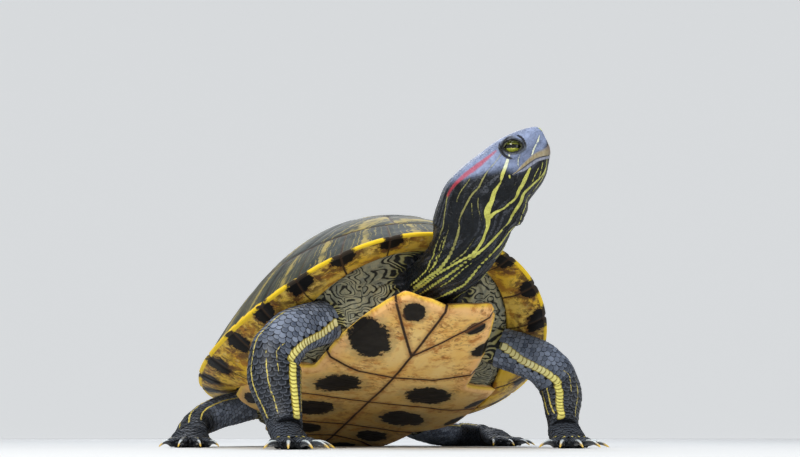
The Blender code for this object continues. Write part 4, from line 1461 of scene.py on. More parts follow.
# Each stripe: its half widths in mm, its places (station, degrees) on the neck and head, and, for a dull one,
# how bright it is; both sides alike.
RED_PATCH = (
    (0.6, 1.1, 1.6, 1.75, 1.6, 1.3, 0.9),
    ((12.8, 43), (12.1, 45), (11.3, 46), (10.6, 45), (9.9, 42), (9.3, 41), (8.8, 35))
)
HEAD_STRIPES = (
    (
        (0.5, 0.35, 0.35, 0.4, 0.5, 0.5, 0.5, 0.5),
        ((8.8, 34), (8.2, 42), (6.8, 54), (5.8, 63), (5.0, 75), (4.3, 87), (3.4, 98), (2.2, 104)), 0.22
    ),
    (
        (0.2, 0.28, 0.32, 0.38, 0.42, 0.42, 0.5, 0.55, 0.7, 0.75, 0.7, 0.6),
        (
            (13.0, 56), (12.1, 65), (10.9, 72), (9.9, 82), (9.0, 82), (8.3, 69), (7.9, 71), (6.9, 83),
            (5.8, 93), (4.9, 101), (3.6, 108), (2.2, 112)
        ),
        0.28,
    ),
    (
        (0.45, 0.7, 0.8, 0.85, 0.9, 1.0, 1.5, 1.0, 0.55, 0.7, 0.65, 0.45, 0.55, 0.6, 0.5),
        (
            (13.3, 67), (12.7, 78), (12.0, 88), (11.2, 94), (10.3, 98), (9.4, 104), (8.7, 104),
            (8.3, 106), (7.8, 108), (7.4, 112), (6.7, 114), (5.5, 108), (4.6, 108), (3.3, 116), (2.0, 119),
        ),
    ),
    (
        (0.5, 1.0, 0.95, 0.7, 0.5, 0.5, 0.8),
        ((13.8, 106), (12.9, 115), (12.2, 121), (11.2, 123), (10.2, 121), (9.3, 119), (8.6, 109)),
    ),
    (
        (0.35, 0.45, 0.55, 0.7, 1.1, 0.8, 0.7, 0.7, 0.6, 0.6, 0.65, 0.6, 0.6, 0.5),
        (
            (15.2, 142), (14.3, 142), (13.4, 137), (12.3, 135), (11.6, 135), (10.5, 135), (9.4, 136),
            (8.3, 137), (7.7, 129), (7.0, 121), (6.2, 120), (5.0, 120), (3.4, 128), (2.0, 132),
        ),
    ),
    (
        (0.3, 0.35, 0.4, 0.45, 0.5, 0.55, 0.65, 0.7, 0.65, 0.6),
        (
            (12.4, 152), (11.0, 151), (9.8, 156), (8.5, 163), (7.6, 152), (6.9, 146), (6.1, 149),
            (5.2, 157), (4.2, 165), (2.4, 160)
        ),
    ),
    ((0.25, 0.3, 0.4, 0.5), ((13.0, 172), (10.5, 173), (8.4, 175), (6.4, 170))),
    ((0.3, 0.35, 0.35, 0.2), ((16.2, 130), (15.4, 142), (14.2, 150), (12.8, 152))),
    ((0.2, 0.28, 0.25), ((15.2, 120), (14.4, 131), (13.6, 142))),
    ((0.2, 0.25, 0.2), ((14.5, 119), (13.8, 124), (13.2, 131))),
    ((0.2, 0.42, 0.4, 0.3), ((16.8, 68), (16.1, 78), (15.2, 85), (14.6, 91))),
    ((0.16, 0.26, 0.16), ((13.9, 78), (13.5, 84), (13.2, 91)), 0.8),
    ((0.25, 0.3, 0.25), ((10.1, 58), (9.3, 63), (8.7, 60)), 0.3),
    ((0.25, 0.3, 0.25), ((8.8, 86), (8.1, 88), (7.6, 92)), 0.35),
    ((0.2, 0.3, 0.2), ((12.0, 111), (11.3, 108), (10.6, 105)), 0.3),
    ((0.2, 0.3, 0.3), ((9.2, 92), (8.7, 94), (8.3, 98)), 0.2),
    ((0.2, 0.3, 0.3), ((7.6, 98), (6.6, 103), (5.6, 104)), 0.35),
    ((0.2, 0.3, 0.35), ((7.0, 62), (6.0, 70), (4.6, 92)), 0.35),
    ((0.2, 0.3, 0.35), ((8.0, 54), (6.9, 66), (6.0, 76)), 0.25),
    ((0.2, 0.3, 0.4, 0.45), ((6.6, 68), (5.8, 78), (5.0, 88), (4.2, 98))),
    ((0.2, 0.3, 0.4, 0.4), ((6.4, 130), (5.6, 128), (4.8, 132), (3.8, 140))),
    ((0.2, 0.25, 0.3), ((11.0, 14), (8.6, 16), (5.0, 32))),
    ((0.55, 0.55), ((12.15, 96), (12.05, 98))),
)
LEG_STRIPES = (
    ((0.30, 0.40, 0.40, 0.35), ((6.3, -24), (7.6, -20), (9.2, -20), (11.6, -20))),
    ((0.25, 0.35, 0.30), ((5.4, 7), (6.2, 1), (8.0, 5))),
    ((0.35, 0.40, 0.45, 0.40), ((5.8, 68), (7.5, 74), (9.5, 72), (11.6, 66))),
    ((0.30, 0.40, 0.40), ((7.0, 96), (9.0, 98), (11.5, 92))),
    ((0.35, 0.45, 0.40, 0.40), ((3.0, -52), (5.5, -60), (8.5, -62), (11.6, -60))),
    ((0.40, 0.50, 0.40), ((2.5, 160), (6.0, 165), (11.0, 170))),
)
BROAD_STRIPE = (
    (2.0, 25), (2.9, 44), (3.8, 50), (4.6, 46), (5.5, 40), (6.7, 41), (8.0, 39), (9.8, 39), (11.8, 40)
)
BROAD_HALF = 1.75
HIND_STRIPES = (
    ((0.5, 0.8, 0.7, 0.5), ((1.5, 20), (4.0, 24), (7.0, 20), (11.5, 15))),
    ((0.4, 0.6, 0.6, 0.4), ((1.5, -25), (4.0, -22), (7.0, -20), (11.5, -22))),
    ((0.4, 0.5, 0.4), ((2.0, 70), (6.0, 68), (11.0, 60))),
    ((0.4, 0.5, 0.4), ((2.0, -75), (6.0, -70), (11.0, -60))),
)
TAIL_STRIPES = tuple(
    ((0.7, 0.6, 0.3), ((0.8, d), (4.0, d), (7.4, d * 0.9))) for d in (-120, -72, -24, 24, 72, 120)
)


class Marks:
    """Sampled curves on the body; field() gives how deep a point lies inside the nearest stripe, in mm."""

    def __init__(self):
        self.points, self.halves, self.tones = [], [], []

    def draw(self, loft, places, halves, tone=1.0, mirrored=False, beaded=0.0):
        count = 40 * (len(places) - 1)
        t = np.linspace(0, len(places) - 1, count)
        route = catmull(places, t)
        half = np.interp(t, np.linspace(0, len(places) - 1, len(halves)), halves)
        for sign in (1, -1) if mirrored else (1,):
            points = loft.at(route[:, 0], route[:, 1] * sign)
            run = np.concatenate([[0], np.cumsum(np.linalg.norm(np.diff(points, axis=0), axis=1))])
            pulse = 1 + beaded * np.sin(run * 2 * pi / 0.0026)
            self.points.append(points)
            self.halves.append(half * np.where(route[:, 0] < 7, pulse, 1))
            self.tones.append(np.full(count, tone) + (1 - tone) * (1 - smoothstep(4.5, 6.5, route[:, 0])))
        return self

    def field(self, points):
        where, half, tone = (np.concatenate(v) for v in (self.points, self.halves, self.tones))
        tree = KDTree(len(where))
        for i, point in enumerate(where.tolist()):
            tree.insert(point, i)
        tree.balance()
        found = [tree.find(point) for point in points.tolist()]
        index = np.array([f[1] for f in found])
        distance = np.array([f[2] for f in found])
        return half[index] - distance * MILLI, tone[index]


def yellow_marks():
    marks = Marks()
    for halves, places, *tone in HEAD_STRIPES:
        marks.draw(HEAD_LOFT, places, halves, *tone, mirrored=True, beaded=0.32)
    for number, loft in enumerate(LEG_LOFTS):
        front = number < 2
        sign = 1 if number % 2 == 0 else -1
        for halves, places in LEG_STRIPES if front else HIND_STRIPES:
            marks.draw(loft, [(t, d * sign) for t, d in places], halves)
    for halves, places in TAIL_STRIPES:
        marks.draw(TAIL_LOFT, places, halves)
    for limb in LIMBS:
        for root, tip, _ in limb.toes:
            t = np.linspace(0.15, 1.0, 14)[:, None]
            line = root + (tip - root) * t + np.array((0, 0, limb.size["toe_radius"] * 0.98))
            marks.points.append(line)
            marks.halves.append(np.full(14, 0.55))
            marks.tones.append(np.full(14, 0.8))
    return marks


def red_marks():
    halves, places = RED_PATCH
    return Marks().draw(HEAD_LOFT, places, halves, mirrored=True)


YELLOW, RED = yellow_marks(), red_marks()


def mark_skin(obj):
    points = points_of(obj)
    region, station, degrees = places_on_body(points)
    local = head_local(points)
    depth, tone = YELLOW.field(points)
    put(obj, "yellow", np.clip(depth, -4, 4))
    put(obj, "bright", tone)
    put(obj, "red", np.clip(RED.field(points)[0], -4, 4))
    # the loose skin of the openings is pale, with dark lines that run out from the neck
    on_leg = on_a_leg(region)
    from_neck = points - np.array((0.0, -0.088, 0.076))
    reach = np.linalg.norm(from_neck * (1.0, 0.6, 1.0), axis=1) * MILLI
    loose = np.where(region == TRUNK, smoothstep(12.0, 30.0, reach), 0.0)
    loose = np.maximum(loose, np.where(on_leg, 1 - smoothstep(0.8, 2.4, station), 0))
    put(obj, "loose", spread_field(obj, loose, 5))
    turned = np.arctan2(from_neck[:, 2], from_neck[:, 0])
    stretched = points * (0.55, 0.9, 1.45)
    waves = 12.5 * noise(stretched, 0.0090, 61) + 4.2 * noise(stretched, 0.0036, 62)
    put(obj, "phase", waves + 12.0 * turned * np.exp(-((reach / 30.0) ** 2)))
    # the crown: the top of the head, where the dark skin is given a painted lavender sheen, the sky's
    # reflection; its lower edge is an angle round the head that changes along it
    edge = np.interp(
        station, (8.6, 9.7, 10.3, 11.2, 12.1, 12.7, 14.0, 18.0), (14, 46, 60, 74, 82, 95, 101, 112)
    )
    crown_sheen = np.where(
        region == NECK_HEAD,
        smoothstep(8.4, 9.8, station) * (1 - smoothstep(-9, 9, np.abs(degrees) - edge)), 0
    )
    put(obj, "crown_sheen", spread_field(obj, crown_sheen, 3))
    lid = np.full(len(points), 9.0)
    for sign in (1, -1):
        centre, outward, ahead, over = eye_frame(sign)
        offset = points - np.array(centre)
        x, z = offset @ np.array(ahead) / APERTURE[0], offset @ np.array(over) / APERTURE[1]
        away = (np.hypot(x, z) - 1) * 3.2
        lid = np.where(
            (offset @ np.array(outward) > 0.001) & (np.linalg.norm(offset, axis=1) < 0.0085), away, lid
        )
    put(obj, "lid", lid)
    put(obj, "nostril", np.minimum(from_nostril(local) * MILLI, 9))
    # painted shade in the creases before and behind the lids, and in an arc above the upper lid
    away, angle = round_the_eyes(local)
    shade_above_lid = 0.9 * np.exp(-(((angle - 100) / 55) ** 4)) * np.exp(-(((away - 4.3) / 0.42) ** 2))
    put(obj, "crease_shade", clamp01(np.maximum(lid_crease(local) * 1.6, shade_above_lid)))
    ribs = np.stack([station * 0.35, degrees / 3.0, np.ones(len(points))], axis=1)
    put(obj, "rib", np.where(region == NECK_HEAD, 1 - 2.4 * np.abs(noise(ribs, 1.0, 71)), 0))


def spread_field(obj, values, rounds):
    edges = edges_of(obj)
    values = values[:, None].astype(float)
    for _ in range(rounds):
        values = 0.5 * values + 0.5 * spread(edges, values, len(values))
    return values[:, 0]


def skin_paint():
    p = Paint("skin")
    names = ("yellow", "bright", "red", "loose", "crown_sheen", "lid", "nostril", "phase", "crease_shade", "rib")
    yellow, bright, red, loose, crown_sheen, lid, nostril, phase, crease_shade, rib = (p.field(n) for n in names)
    fine, patchy, broad = p.noise(0.0009, 3, 0.6), p.noise(0.0042, 4, 0.6), p.noise(0.014, 3)
    dark = p.mix(p.step(patchy, 0.35, 0.75), (0.0035, 0.0045, 0.0060), (0.0110, 0.0140, 0.0180))
    # on the crown, lavender grey with darker patches: a painted sheen, the sky's reflection on the dark skin;
    # the cells' lines and the stripes' black borders are weaker under it
    lavender_sheen = p.mix(p.step(patchy, 0.30, 0.70), (0.160, 0.200, 0.320), (0.270, 0.330, 0.510))
    lavender_sheen = p.mix(p.times(p.step(broad, 0.56, 0.38), 0.55), lavender_sheen, (0.095, 0.115, 0.185))
    colour = p.mix(p.times(crown_sheen, 0.92), dark, lavender_sheen)
    net = p.step(p.cells(0.0030, "DISTANCE_TO_EDGE"), 0.09, 0.0)
    colour = p.mix(p.times(net, p.mix_number(crown_sheen, 0.45, 0.09)), colour, (0.009, 0.010, 0.012))
    # painted highlights on the crests of the neck's fine lengthwise wrinkles, off the crown
    wrinkle_highlight = p.times(p.step(rib, 0.25, 0.75), p.step(fine, 0.35, 0.60))
    colour = p.mix(p.times(p.times(wrinkle_highlight, p.flip(crown_sheen)), 0.60), colour, (0.085, 0.092, 0.110))
    # pale loose skin, with wavy dark lines that split and close round long pale fields
    lines = p.math("ABSOLUTE", p.math("SINE", p.add(phase, p.times(p.add(fine, -0.5), 0.5))))
    pale = p.mix(
        p.step(p.add(patchy, p.times(fine, 0.4)), 0.55, 0.85), (0.36, 0.34, 0.215), (0.20, 0.205, 0.155)
    )
    pale = p.mix(p.step(loose, 0.9, 0.3), pale, (0.40, 0.37, 0.13))
    in_pale = p.add(p.add(lines, p.times(loose, 0.68)), p.times(p.add(broad, -0.5), 0.5))
    colour = p.mix(p.times(loose, 0.8), colour, (0.020, 0.021, 0.018))
    colour = p.mix(p.times(p.step(in_pale, 0.96, 1.34), p.step(loose, 0.03, 0.12)), colour, pale)
    ragged = p.times(p.add(fine, -0.5), 0.38)
    in_yellow = p.add(yellow, ragged)
    border = p.times(
        p.times(p.step(in_yellow, -0.70, -0.10), 0.85),
        p.times(p.step(loose, 0.3, 0.0), p.mix_number(crown_sheen, 1.0, 0.25))
    )
    colour = p.mix(border, colour, (0.005, 0.006, 0.007))
    straw = p.mix(p.step(patchy, 0.35, 0.65), (0.62, 0.62, 0.150), (0.47, 0.46, 0.090))
    # under the crown's painted sheen the yellow stripes are painted paler
    straw = p.mix(crown_sheen, straw, (0.72, 0.76, 0.55))
    straw = p.mix(bright, (0.17, 0.155, 0.075), straw)
    colour = p.mix(p.times(p.step(in_yellow, -0.12, 0.14), p.mix_number(patchy, 1.0, 0.8)), colour, straw)
    ruddy = p.mix(p.step(patchy, 0.35, 0.70), (0.42, 0.045, 0.065), (0.25, 0.022, 0.032))
    # on the crown the red patch is painted pinker and paler, as under the painted sheen
    sheened_red = p.mix(crown_sheen, ruddy, (0.46, 0.17, 0.26))
    colour = p.mix(
        p.times(p.step(p.add(red, p.times(ragged, 2.2)), -0.6, 0.8), 0.93), colour,
        p.mix(0.45, ruddy, sheened_red)
    )
    # lids: black round the opening with a thin pale edge, and painted shade in the creases before, behind and
    # above them
    colour = p.mix(p.times(p.step(lid, 2.5, 1.75), 0.84), colour, (0.040, 0.045, 0.048))
    colour = p.mix(p.times(p.step(crease_shade, 0.15, 0.85), 0.95), colour, (0.006, 0.006, 0.006))
    colour = p.mix(p.times(p.step(lid, 1.25, 0.85), 0.97), colour, (0.005, 0.005, 0.005))
    colour = p.mix(p.times(p.step(lid, 0.26, 0.10), p.step(fine, 0.35, 0.60)), colour, (0.16, 0.165, 0.080))
    colour = p.mix(p.step(nostril, 1.75, 1.4), colour, (0.50, 0.54, 0.12))
    # near black in the nostril's opening: painted shade
    colour = p.mix(p.step(nostril, 1.02, 0.86), colour, (0.008, 0.008, 0.006))
    p.set(Base_Color=colour, Roughness=p.add(p.times(patchy, 0.22), 0.30))
    p.set(Specular_IOR_Level=0.16, Coat_Weight=0.03, Coat_Roughness=0.2)
    grain = p.add(p.times(p.cells(0.00085), 0.8), p.times(fine, 0.4))
    p.bump(p.add(p.add(grain, p.times(net, -0.7)), p.times(rib, 0.9)), 0.00032, 0.6)
    return p


# ---- scales of the legs and the tail


class Plates:
    """Overlapping scales, kept as one mesh. Each is a curved plate with a free, rounded outer end."""

    ACROSS, ALONG = 6, 5

    def __init__(self, corner):
        self.corner = corner
        self.points, self.faces, self.uv, self.fields = [], [], [], []
        u, v = np.meshgrid(np.linspace(-1, 1, self.ACROSS), np.linspace(0, 1, self.ALONG), indexing="xy")
        self.u, self.v = u.ravel(), v.ravel()
        index = np.arange(self.u.size).reshape(self.ALONG, self.ACROSS)
        self.border = np.concatenate([index[0, :-1], index[:-1, -1], index[-1, :0:-1], index[:0:-1, 0]])
        self.top = grid_faces(self.ALONG, self.ACROSS)

    def add(self, loft, station, degrees, length, width, lift, marks, size_of):
        """length in stations and width in degrees are half-sizes; marks are numbers kept for the material."""
        end = 1 - 0.16 * self.u**2 * self.v
        narrow = 1 - 0.22 * np.maximum(0, self.v - 0.45) ** 2 / 0.3
        t = station + (self.v * end - 0.30) * 2 * length
        d = degrees + self.u * width * narrow
        surface, normal = loft.at(t, d), loft.out(t, d)
        height = (
            -0.00030 + lift * (0.35 + 0.65 * self.v**1.3)
            + 0.00016 * (1 - self.u**2) * np.sin(pi * np.minimum(self.v + 0.1, 1))
        )
        upper = surface + normal * height[:, None]
        under = (
            surface[self.border]
            + normal[self.border] * np.minimum(height[self.border] - 0.00030, -0.00010)[:, None]
        )
        first = len(self.points) and sum(len(p) for p in self.points)
        count = len(upper)
        self.points += [upper, under]
        self.faces += [[a + first for a in face] for face in self.top]
        low = [first + count + k for k in range(len(self.border))]
        high = [first + int(b) for b in self.border]
        for k in range(len(high)):
            m = (k + 1) % len(high)
            self.faces.append([high[m], high[k], low[k], low[m]])
        self.faces.append(low)
        root = np.array(self.corner) + np.array(size_of)
        patch = np.stack([self.u * 0.0015, (self.v - 0.5) * 0.003], axis=1) + root
        self.uv += [patch, patch[self.border]]
        edge = np.minimum(1 - self.v, (1 - np.abs(self.u)) * 0.8)
        edge = np.concatenate([edge, np.zeros(len(self.border))])
        self.fields.append(np.stack([edge] + [np.full(len(edge), m) for m in marks], axis=1))

    def build(self, name, names):
        points = np.concatenate(self.points)
        points[:, 2] = np.maximum(points[:, 2], 0.0)
        obj = mesh_object(name, points, self.faces, shift=False)
        coords = np.concatenate(self.uv)
        layer = obj.data.uv_layers.new(name="OFBake")
        loops = np.empty(len(obj.data.loops), np.int32)
        obj.data.loops.foreach_get("vertex_index", loops)
        layer.data.foreach_set("uv", coords[loops].astype(np.float32).ravel())
        face_out(obj)
        fields = np.concatenate(self.fields)
        for number, label in enumerate(names):
            put(obj, label, fields[:, number])
        put(obj, "yellow", np.clip(YELLOW.field(points)[0], -4, 4))
        return smooth_shaded(obj, 40)


def spacing(loft, station):
    """(metres along one station, metres round the loft) near a ring."""
    middle_low = loft.middle[int(np.clip((station - 0.25) * 40, 0, len(loft.middle) - 1))]
    middle_high = loft.middle[int(np.clip((station + 0.25) * 40, 0, len(loft.middle) - 1))]
    circle = loft.at(station, np.arange(0, 360, 10))
    around = np.linalg.norm(circle - np.roll(circle, 1, axis=0), axis=1).sum()
    return 2 * np.linalg.norm(middle_high - middle_low), around


def cover(plates, loft, start, stop, length_of, width_of, lift, stripe=None, sign=1, skip=None):
    """Rows of overlapping scales from a limb's root to its end; a stripe's wide scales make one column."""
    station, row = start, 0
    while station < stop:
        per_station, around = spacing(loft, station)
        length, width = length_of(station) * MM, width_of(station) * MM
        half_length = 0.5 * length / per_station * 1.45
        step = 360 * width / around
        centre = sign * float(np.interp(station, *zip(*stripe))) if stripe else 0.0
        clear = 360 * BROAD_HALF * MM / around if stripe else 0.0
        room = 360 - 2 * clear
        count = max(6, int(round(room / step)))
        for k in range(count):
            share = (k + 0.5 + (0.5 if row % 2 and not stripe else 0) + rng.uniform(-0.10, 0.10)) / count
            if stripe and row % 2:
                share = (k + rng.uniform(-0.10, 0.10)) / count + (0.25 / count if k == 0 else 0)
            degrees = (centre + clear + room * share + 180) % 360 - 180
            place = station + rng.uniform(-0.12, 0.12) * length / per_station
            if skip and skip(loft.at(place, degrees)):
                continue
            grow = rng.uniform(0.92, 1.10)
            marks = (0.0, rng.uniform(0, 1), station)
            size_of = (0.004 + 0.22 * (degrees + 180) / 360, 0.004 + 0.44 * place / loft.last)
            plates.add(
                loft, place, degrees, half_length * grow, step * 0.54 * grow, lift * rng.uniform(0.8, 1.15),
                marks, size_of
            )
        if stripe and station > stripe[0][0]:
            marks = (1.0, rng.uniform(0, 1), station)
            size_of = (0.004 + 0.22 * (centre + 180) / 360, 0.004 + 0.44 * station / loft.last)
            plates.add(loft, station, centre, half_length * 1.1, clear * 1.10, lift * 1.5, marks, size_of)
        station += length / per_station
        row += 1


def in_shell(point):
    """True where the shell hides a scale."""
    shell = (point - SHELL_LIFT) @ SHELL_TURN
    forward, side, height = -shell[1], shell[0], shell[2]
    angle = np.arctan2(side / HALF_WIDTH, forward / HALF_LENGTH)
    f, s, _ = rim(angle)
    reach, _ = band(angle)
    return np.hypot(forward, side) < np.hypot(f, s) * (reach - 0.13) and -0.024 < height < 0.05


SCALE_LIFT = 0.00058


def make_leg_scales(limb, loft, corner):
    front = limb.name.startswith("fore")
    sign = 1 if limb.name.endswith("right") else -1
    plates = Plates(corner)
    if front:
        length_of = lambda t: np.interp(t, (1.5, 4.0, 6.0, 8.0, 12.5), (1.9, 2.1, 2.0, 2.0, 1.6))
        width_of = lambda t: np.interp(t, (1.5, 4.0, 6.0, 8.0, 12.5), (2.2, 2.7, 3.0, 3.5, 2.3))
        cover(plates, loft, 1.8, 12.2, length_of, width_of, SCALE_LIFT, BROAD_STRIPE, sign, in_shell)
    else:
        length_of = lambda t: np.interp(t, (1.5, 6, 12.5), (2.1, 2.1, 1.8))
        width_of = lambda t: np.interp(t, (1.5, 6, 12.5), (2.5, 2.5, 2.1))
        cover(plates, loft, 1.5, 12.2, length_of, width_of, SCALE_LIFT * 1.05, None, sign, in_shell)
    small = lambda t: 1.6
    cover(plates, loft, 12.3, loft.last - 0.9, small, small, SCALE_LIFT * 1.15)
    for number, (root, tip, _) in enumerate(limb.toes):
        radius = limb.size["toe_radius"]
        slope = Vector(tip - root).normalized()
        across = slope.cross(Vector((0, 0, 1))).normalized()
        upward = across.cross(slope)
        rings = [
            ring(root + (tip - root) * s, across, upward, radius * w, radius * w, radius * w, 20) for s,
            w in ((-0.35, 0.75), (0.1, 1.0), (0.4, 0.95), (0.7, 1.02), (1.0, 0.80), (1.15, 0.6))
        ]
        toe = Loft(rings)
        for k, station in enumerate(np.linspace(0.5, 4.1, 6)):
            marks = (0.0, rng.uniform(0, 1), 13.0)
            size_of = (0.004 + 0.04 * number, 0.452 + 0.006 * k)
            plates.add(toe, station, rng.uniform(-3, 3), 0.55, 78, SCALE_LIFT * 0.9, marks, size_of)
    return plates.build(limb.name + "_scales", ("edge", "stacked", "tone", "station"))


def make_tail_scales():
    plates = Plates((0.5, 0.5))
    cover(
        plates, TAIL_LOFT, 1.0, 7.6, lambda t: 1.9, lambda t: np.interp(t, (1, 7), (2.4, 1.5)),
        SCALE_LIFT * 0.8, skip=in_shell
    )
    return plates.build("tail_scales", ("edge", "stacked", "tone", "station"))


def scale_paint():
    p = Paint("limb_scales")
    edge, stacked, tone, station, yellow = (
        p.field(n) for n in ("edge", "stacked", "tone", "station", "yellow")
    )
    fine = p.noise(0.0009, 3, 0.6)
    # the upper leg's pale blue-grey is a painted sheen, the sky's reflection on its dark scales; the lower
    # leg keeps dark scales
    upper = p.mix(tone, (0.060, 0.076, 0.112), (0.215, 0.255, 0.340))
    lower = p.mix(tone, (0.008, 0.010, 0.013), (0.027, 0.032, 0.042))
    colour = p.mix(p.step(station, 4.4, 6.6), upper, lower)
    colour = p.mix(p.times(p.step(station, 11.8, 13.2), 0.6), colour, (0.045, 0.052, 0.066))
    # a pale band just inside each scale's edge: painted highlight
    colour = p.mix(
        p.times(p.times(p.step(edge, 0.40, 0.22), p.step(edge, 0.08, 0.2)), 0.35), colour,
        (0.16, 0.18, 0.22)
    )
    colour = p.mix(p.times(p.step(edge, 0.15, 0.03), 0.9), colour, (0.006, 0.006, 0.007))
    straw = p.mix(fine, (0.66, 0.55, 0.15), (0.56, 0.46, 0.08))
    colour = p.mix(p.step(p.add(yellow, p.times(p.add(fine, -0.5), 0.3)), -0.10, 0.12), colour, straw)
    creamy = p.mix(p.step(station, 3.0, 7.0), (0.80, 0.76, 0.42), (0.78, 0.72, 0.19))
    rich = p.mix(
        p.step(edge, 0.26, 0.04), p.mix(p.times(tone, 0.5), creamy, (0.66, 0.56, 0.14)), (0.26, 0.20, 0.03)
    )
    colour = p.mix(p.step(stacked, 0.4, 0.6), colour, rich)
    p.set(Base_Color=colour, Roughness=p.add(0.34, p.times(fine, 0.2)), Specular_IOR_Level=0.20)
    p.bump(fine, 0.0002, 0.4)
    return p


# ---- eyes, beak and claws


def make_eye(sign):
    """An eyeball with a slight cornea; it keeps the places on it, in mm, for the material."""
    centre, outward = eye_frame(sign)[:2]
    level = (HEAD_FORWARD * cos(LOOK_TILT) + HEAD_UP * sin(LOOK_TILT)).normalized()
    level = (level - outward * level.dot(outward)).normalized()
    above = np.array(outward.cross(level))
    above *= np.sign(above @ np.array(HEAD_UP))
    rows, sides = 72, 96
    around = 2 * pi * np.arange(sides) / sides
    rings = []
    for polar in np.linspace(0.01, pi - 0.01, rows):
        swell = 0.00025 * np.exp(-((polar / 0.62) ** 4))
        circle = np.outer(np.cos(around), np.array(level)) + np.outer(np.sin(around), above)
        rings.append(
            circle * (EYE_RADIUS * sin(polar)) + np.array(outward) * (EYE_RADIUS * cos(polar) + swell)
            + np.array(centre)
        )
    obj = face_out(mesh_object(f"eyeball_{'left' if sign > 0 else 'right'}", *loft_parts(rings)))
    offset = points_of(obj) - BOX_SHIFT - np.array(centre)
    put(obj, "a", offset @ np.array(level) * MILLI)
    put(obj, "b", offset @ above * MILLI)
    put(obj, "c", offset @ np.array(outward) * MILLI)
    return smooth_shaded(obj)


def eye_paint():
    p = Paint("eye")
    a, b, c = p.field("a"), p.field("b"), p.field("c")
    away = p.math("SQRT", p.add(p.times(a, a), p.times(b, b)))
    angle = p.math("ARCTAN2", b, a)
    fibre = p.noise(0.00035, 3, 0.6)
    rays = p.math("SINE", p.add(p.times(angle, 46.0), p.times(fibre, 5.0)))
    iris = p.mix(p.add(p.times(rays, 0.35), 0.5), (0.15, 0.17, 0.012), (0.41, 0.44, 0.040))
    iris = p.mix(p.step(away, 1.4, 1.0), iris, (0.58, 0.55, 0.12))
    iris = p.mix(p.step(away, 2.5, 3.1), iris, (0.06, 0.07, 0.015))
    # the iris's upper part darkened: painted shade under the upper lid
    iris = p.mix(p.times(p.step(b, 0.3, 1.5), 0.90), iris, (0.018, 0.022, 0.007))
    bar = p.times(
        p.step(p.math("ABSOLUTE", p.add(b, p.times(p.add(fibre, -0.5), 0.25))), 0.95, 0.75),
        p.step(away, 3.9, 3.6)
    )
    pupil = p.step(away, 1.02, 0.92)
    colour = p.mix(p.most(bar, pupil), iris, (0.004, 0.004, 0.004))
    colour = p.mix(p.step(away, 3.15, 3.4), colour, (0.03, 0.03, 0.018))
    colour = p.mix(p.step(c, 0.6, 0.0), colour, (0.05, 0.04, 0.03))
    p.set(Base_Color=colour, Roughness=0.10, Specular_IOR_Level=0.22, Coat_Weight=0.30, Coat_Roughness=0.02)
    return p


# the mouth line from its corner to the tip, in the head's own frame, in mm along and up
MOUTH_LINE = (
    (16.0, -4.3), (17.9, -3.8), (22.0, -3.7), (25.6, -3.5), (28.5, -3.5), (31.0, -4.1), (33.0, -4.9),
    (35.5, -5.8), (39.0, -6.2),
)
# degrees that each half of the beak reaches round from the front
JAW_SPREAD = 97


def mouth_height(x):
    """Height of the mouth line in the head's own frame; it drops at the front, under the hooked beak."""
    along, height = np.array(MOUTH_LINE).T * MM
    return float(np.interp(x, along, height))


def sheath(name, tree, below, above, proud, flare):
    """A horny strip round the jaw: rows from its lower to its upper edge, closed at the back."""
    columns, rows = 150, 9
    angles = np.radians(np.linspace(-JAW_SPREAD, JAW_SPREAD, columns))
    start = np.array((MOUTH_CORNER[0], 0.0, 0.0))
    outer, inner = [], []
    for k in range(rows):
        share = k / (rows - 1)
        row_out, row_in = [], []
        for angle in angles:
            front = cos(angle)
            taper = 1 - 0.75 * smoothstep(72, 96, abs(np.degrees(angle)))
            low = below * MM * taper
            high = above(max(front, 0)) * MM * taper
            direction = np.array((cos(angle), sin(angle), 0))
            reach = 0.010
            for _ in range(3):
                x = start[0] + max(direction[0], 0) * reach
                level = mouth_height(x) + low + (high - low) * share
                origin = head_point(start[0], 0.0, level)
                hit, normal, _, distance = tree.ray_cast(Vector(origin), Vector(direction @ HEAD_AXES))
                if hit is None:
                    break
                reach = distance
            if hit is None:
                hit, normal, _, _ = tree.find_nearest(Vector(origin + (direction * reach) @ HEAD_AXES))
            thick = (
                proud * MM * (sin(pi * (0.10 + 0.80 * share)) ** 0.5)
                * (1 - smoothstep(76, JAW_SPREAD, abs(np.degrees(angle))) * 0.95)
            )
            thick += flare * MM * (1 - share) ** 2
            row_out.append(np.array(hit + normal * thick))
            row_in.append(np.array(hit - normal * 0.0004))
        outer.append(row_out)
        inner.append(row_in)
    outer, inner = np.array(outer), np.array(inner)
    for _ in range(3):
        for block in (outer, inner):
            block[:, 1:-1] = 0.25 * block[:, :-2] + 0.5 * block[:, 1:-1] + 0.25 * block[:, 2:]
    rings = np.concatenate([outer, inner[::-1]]).transpose(1, 0, 2)
    points, faces = loft_parts(rings)
    obj = face_out(mesh_object(name, points, faces, shift=False))
    share = np.tile(np.concatenate([np.linspace(0, 1, rows), np.linspace(1, 0, rows)]), columns)
    put(obj, "rise", share)
    put(obj, "turn", np.repeat(np.abs(np.degrees(angles)) / JAW_SPREAD, 2 * rows))
    return smooth_shaded(obj, 50)


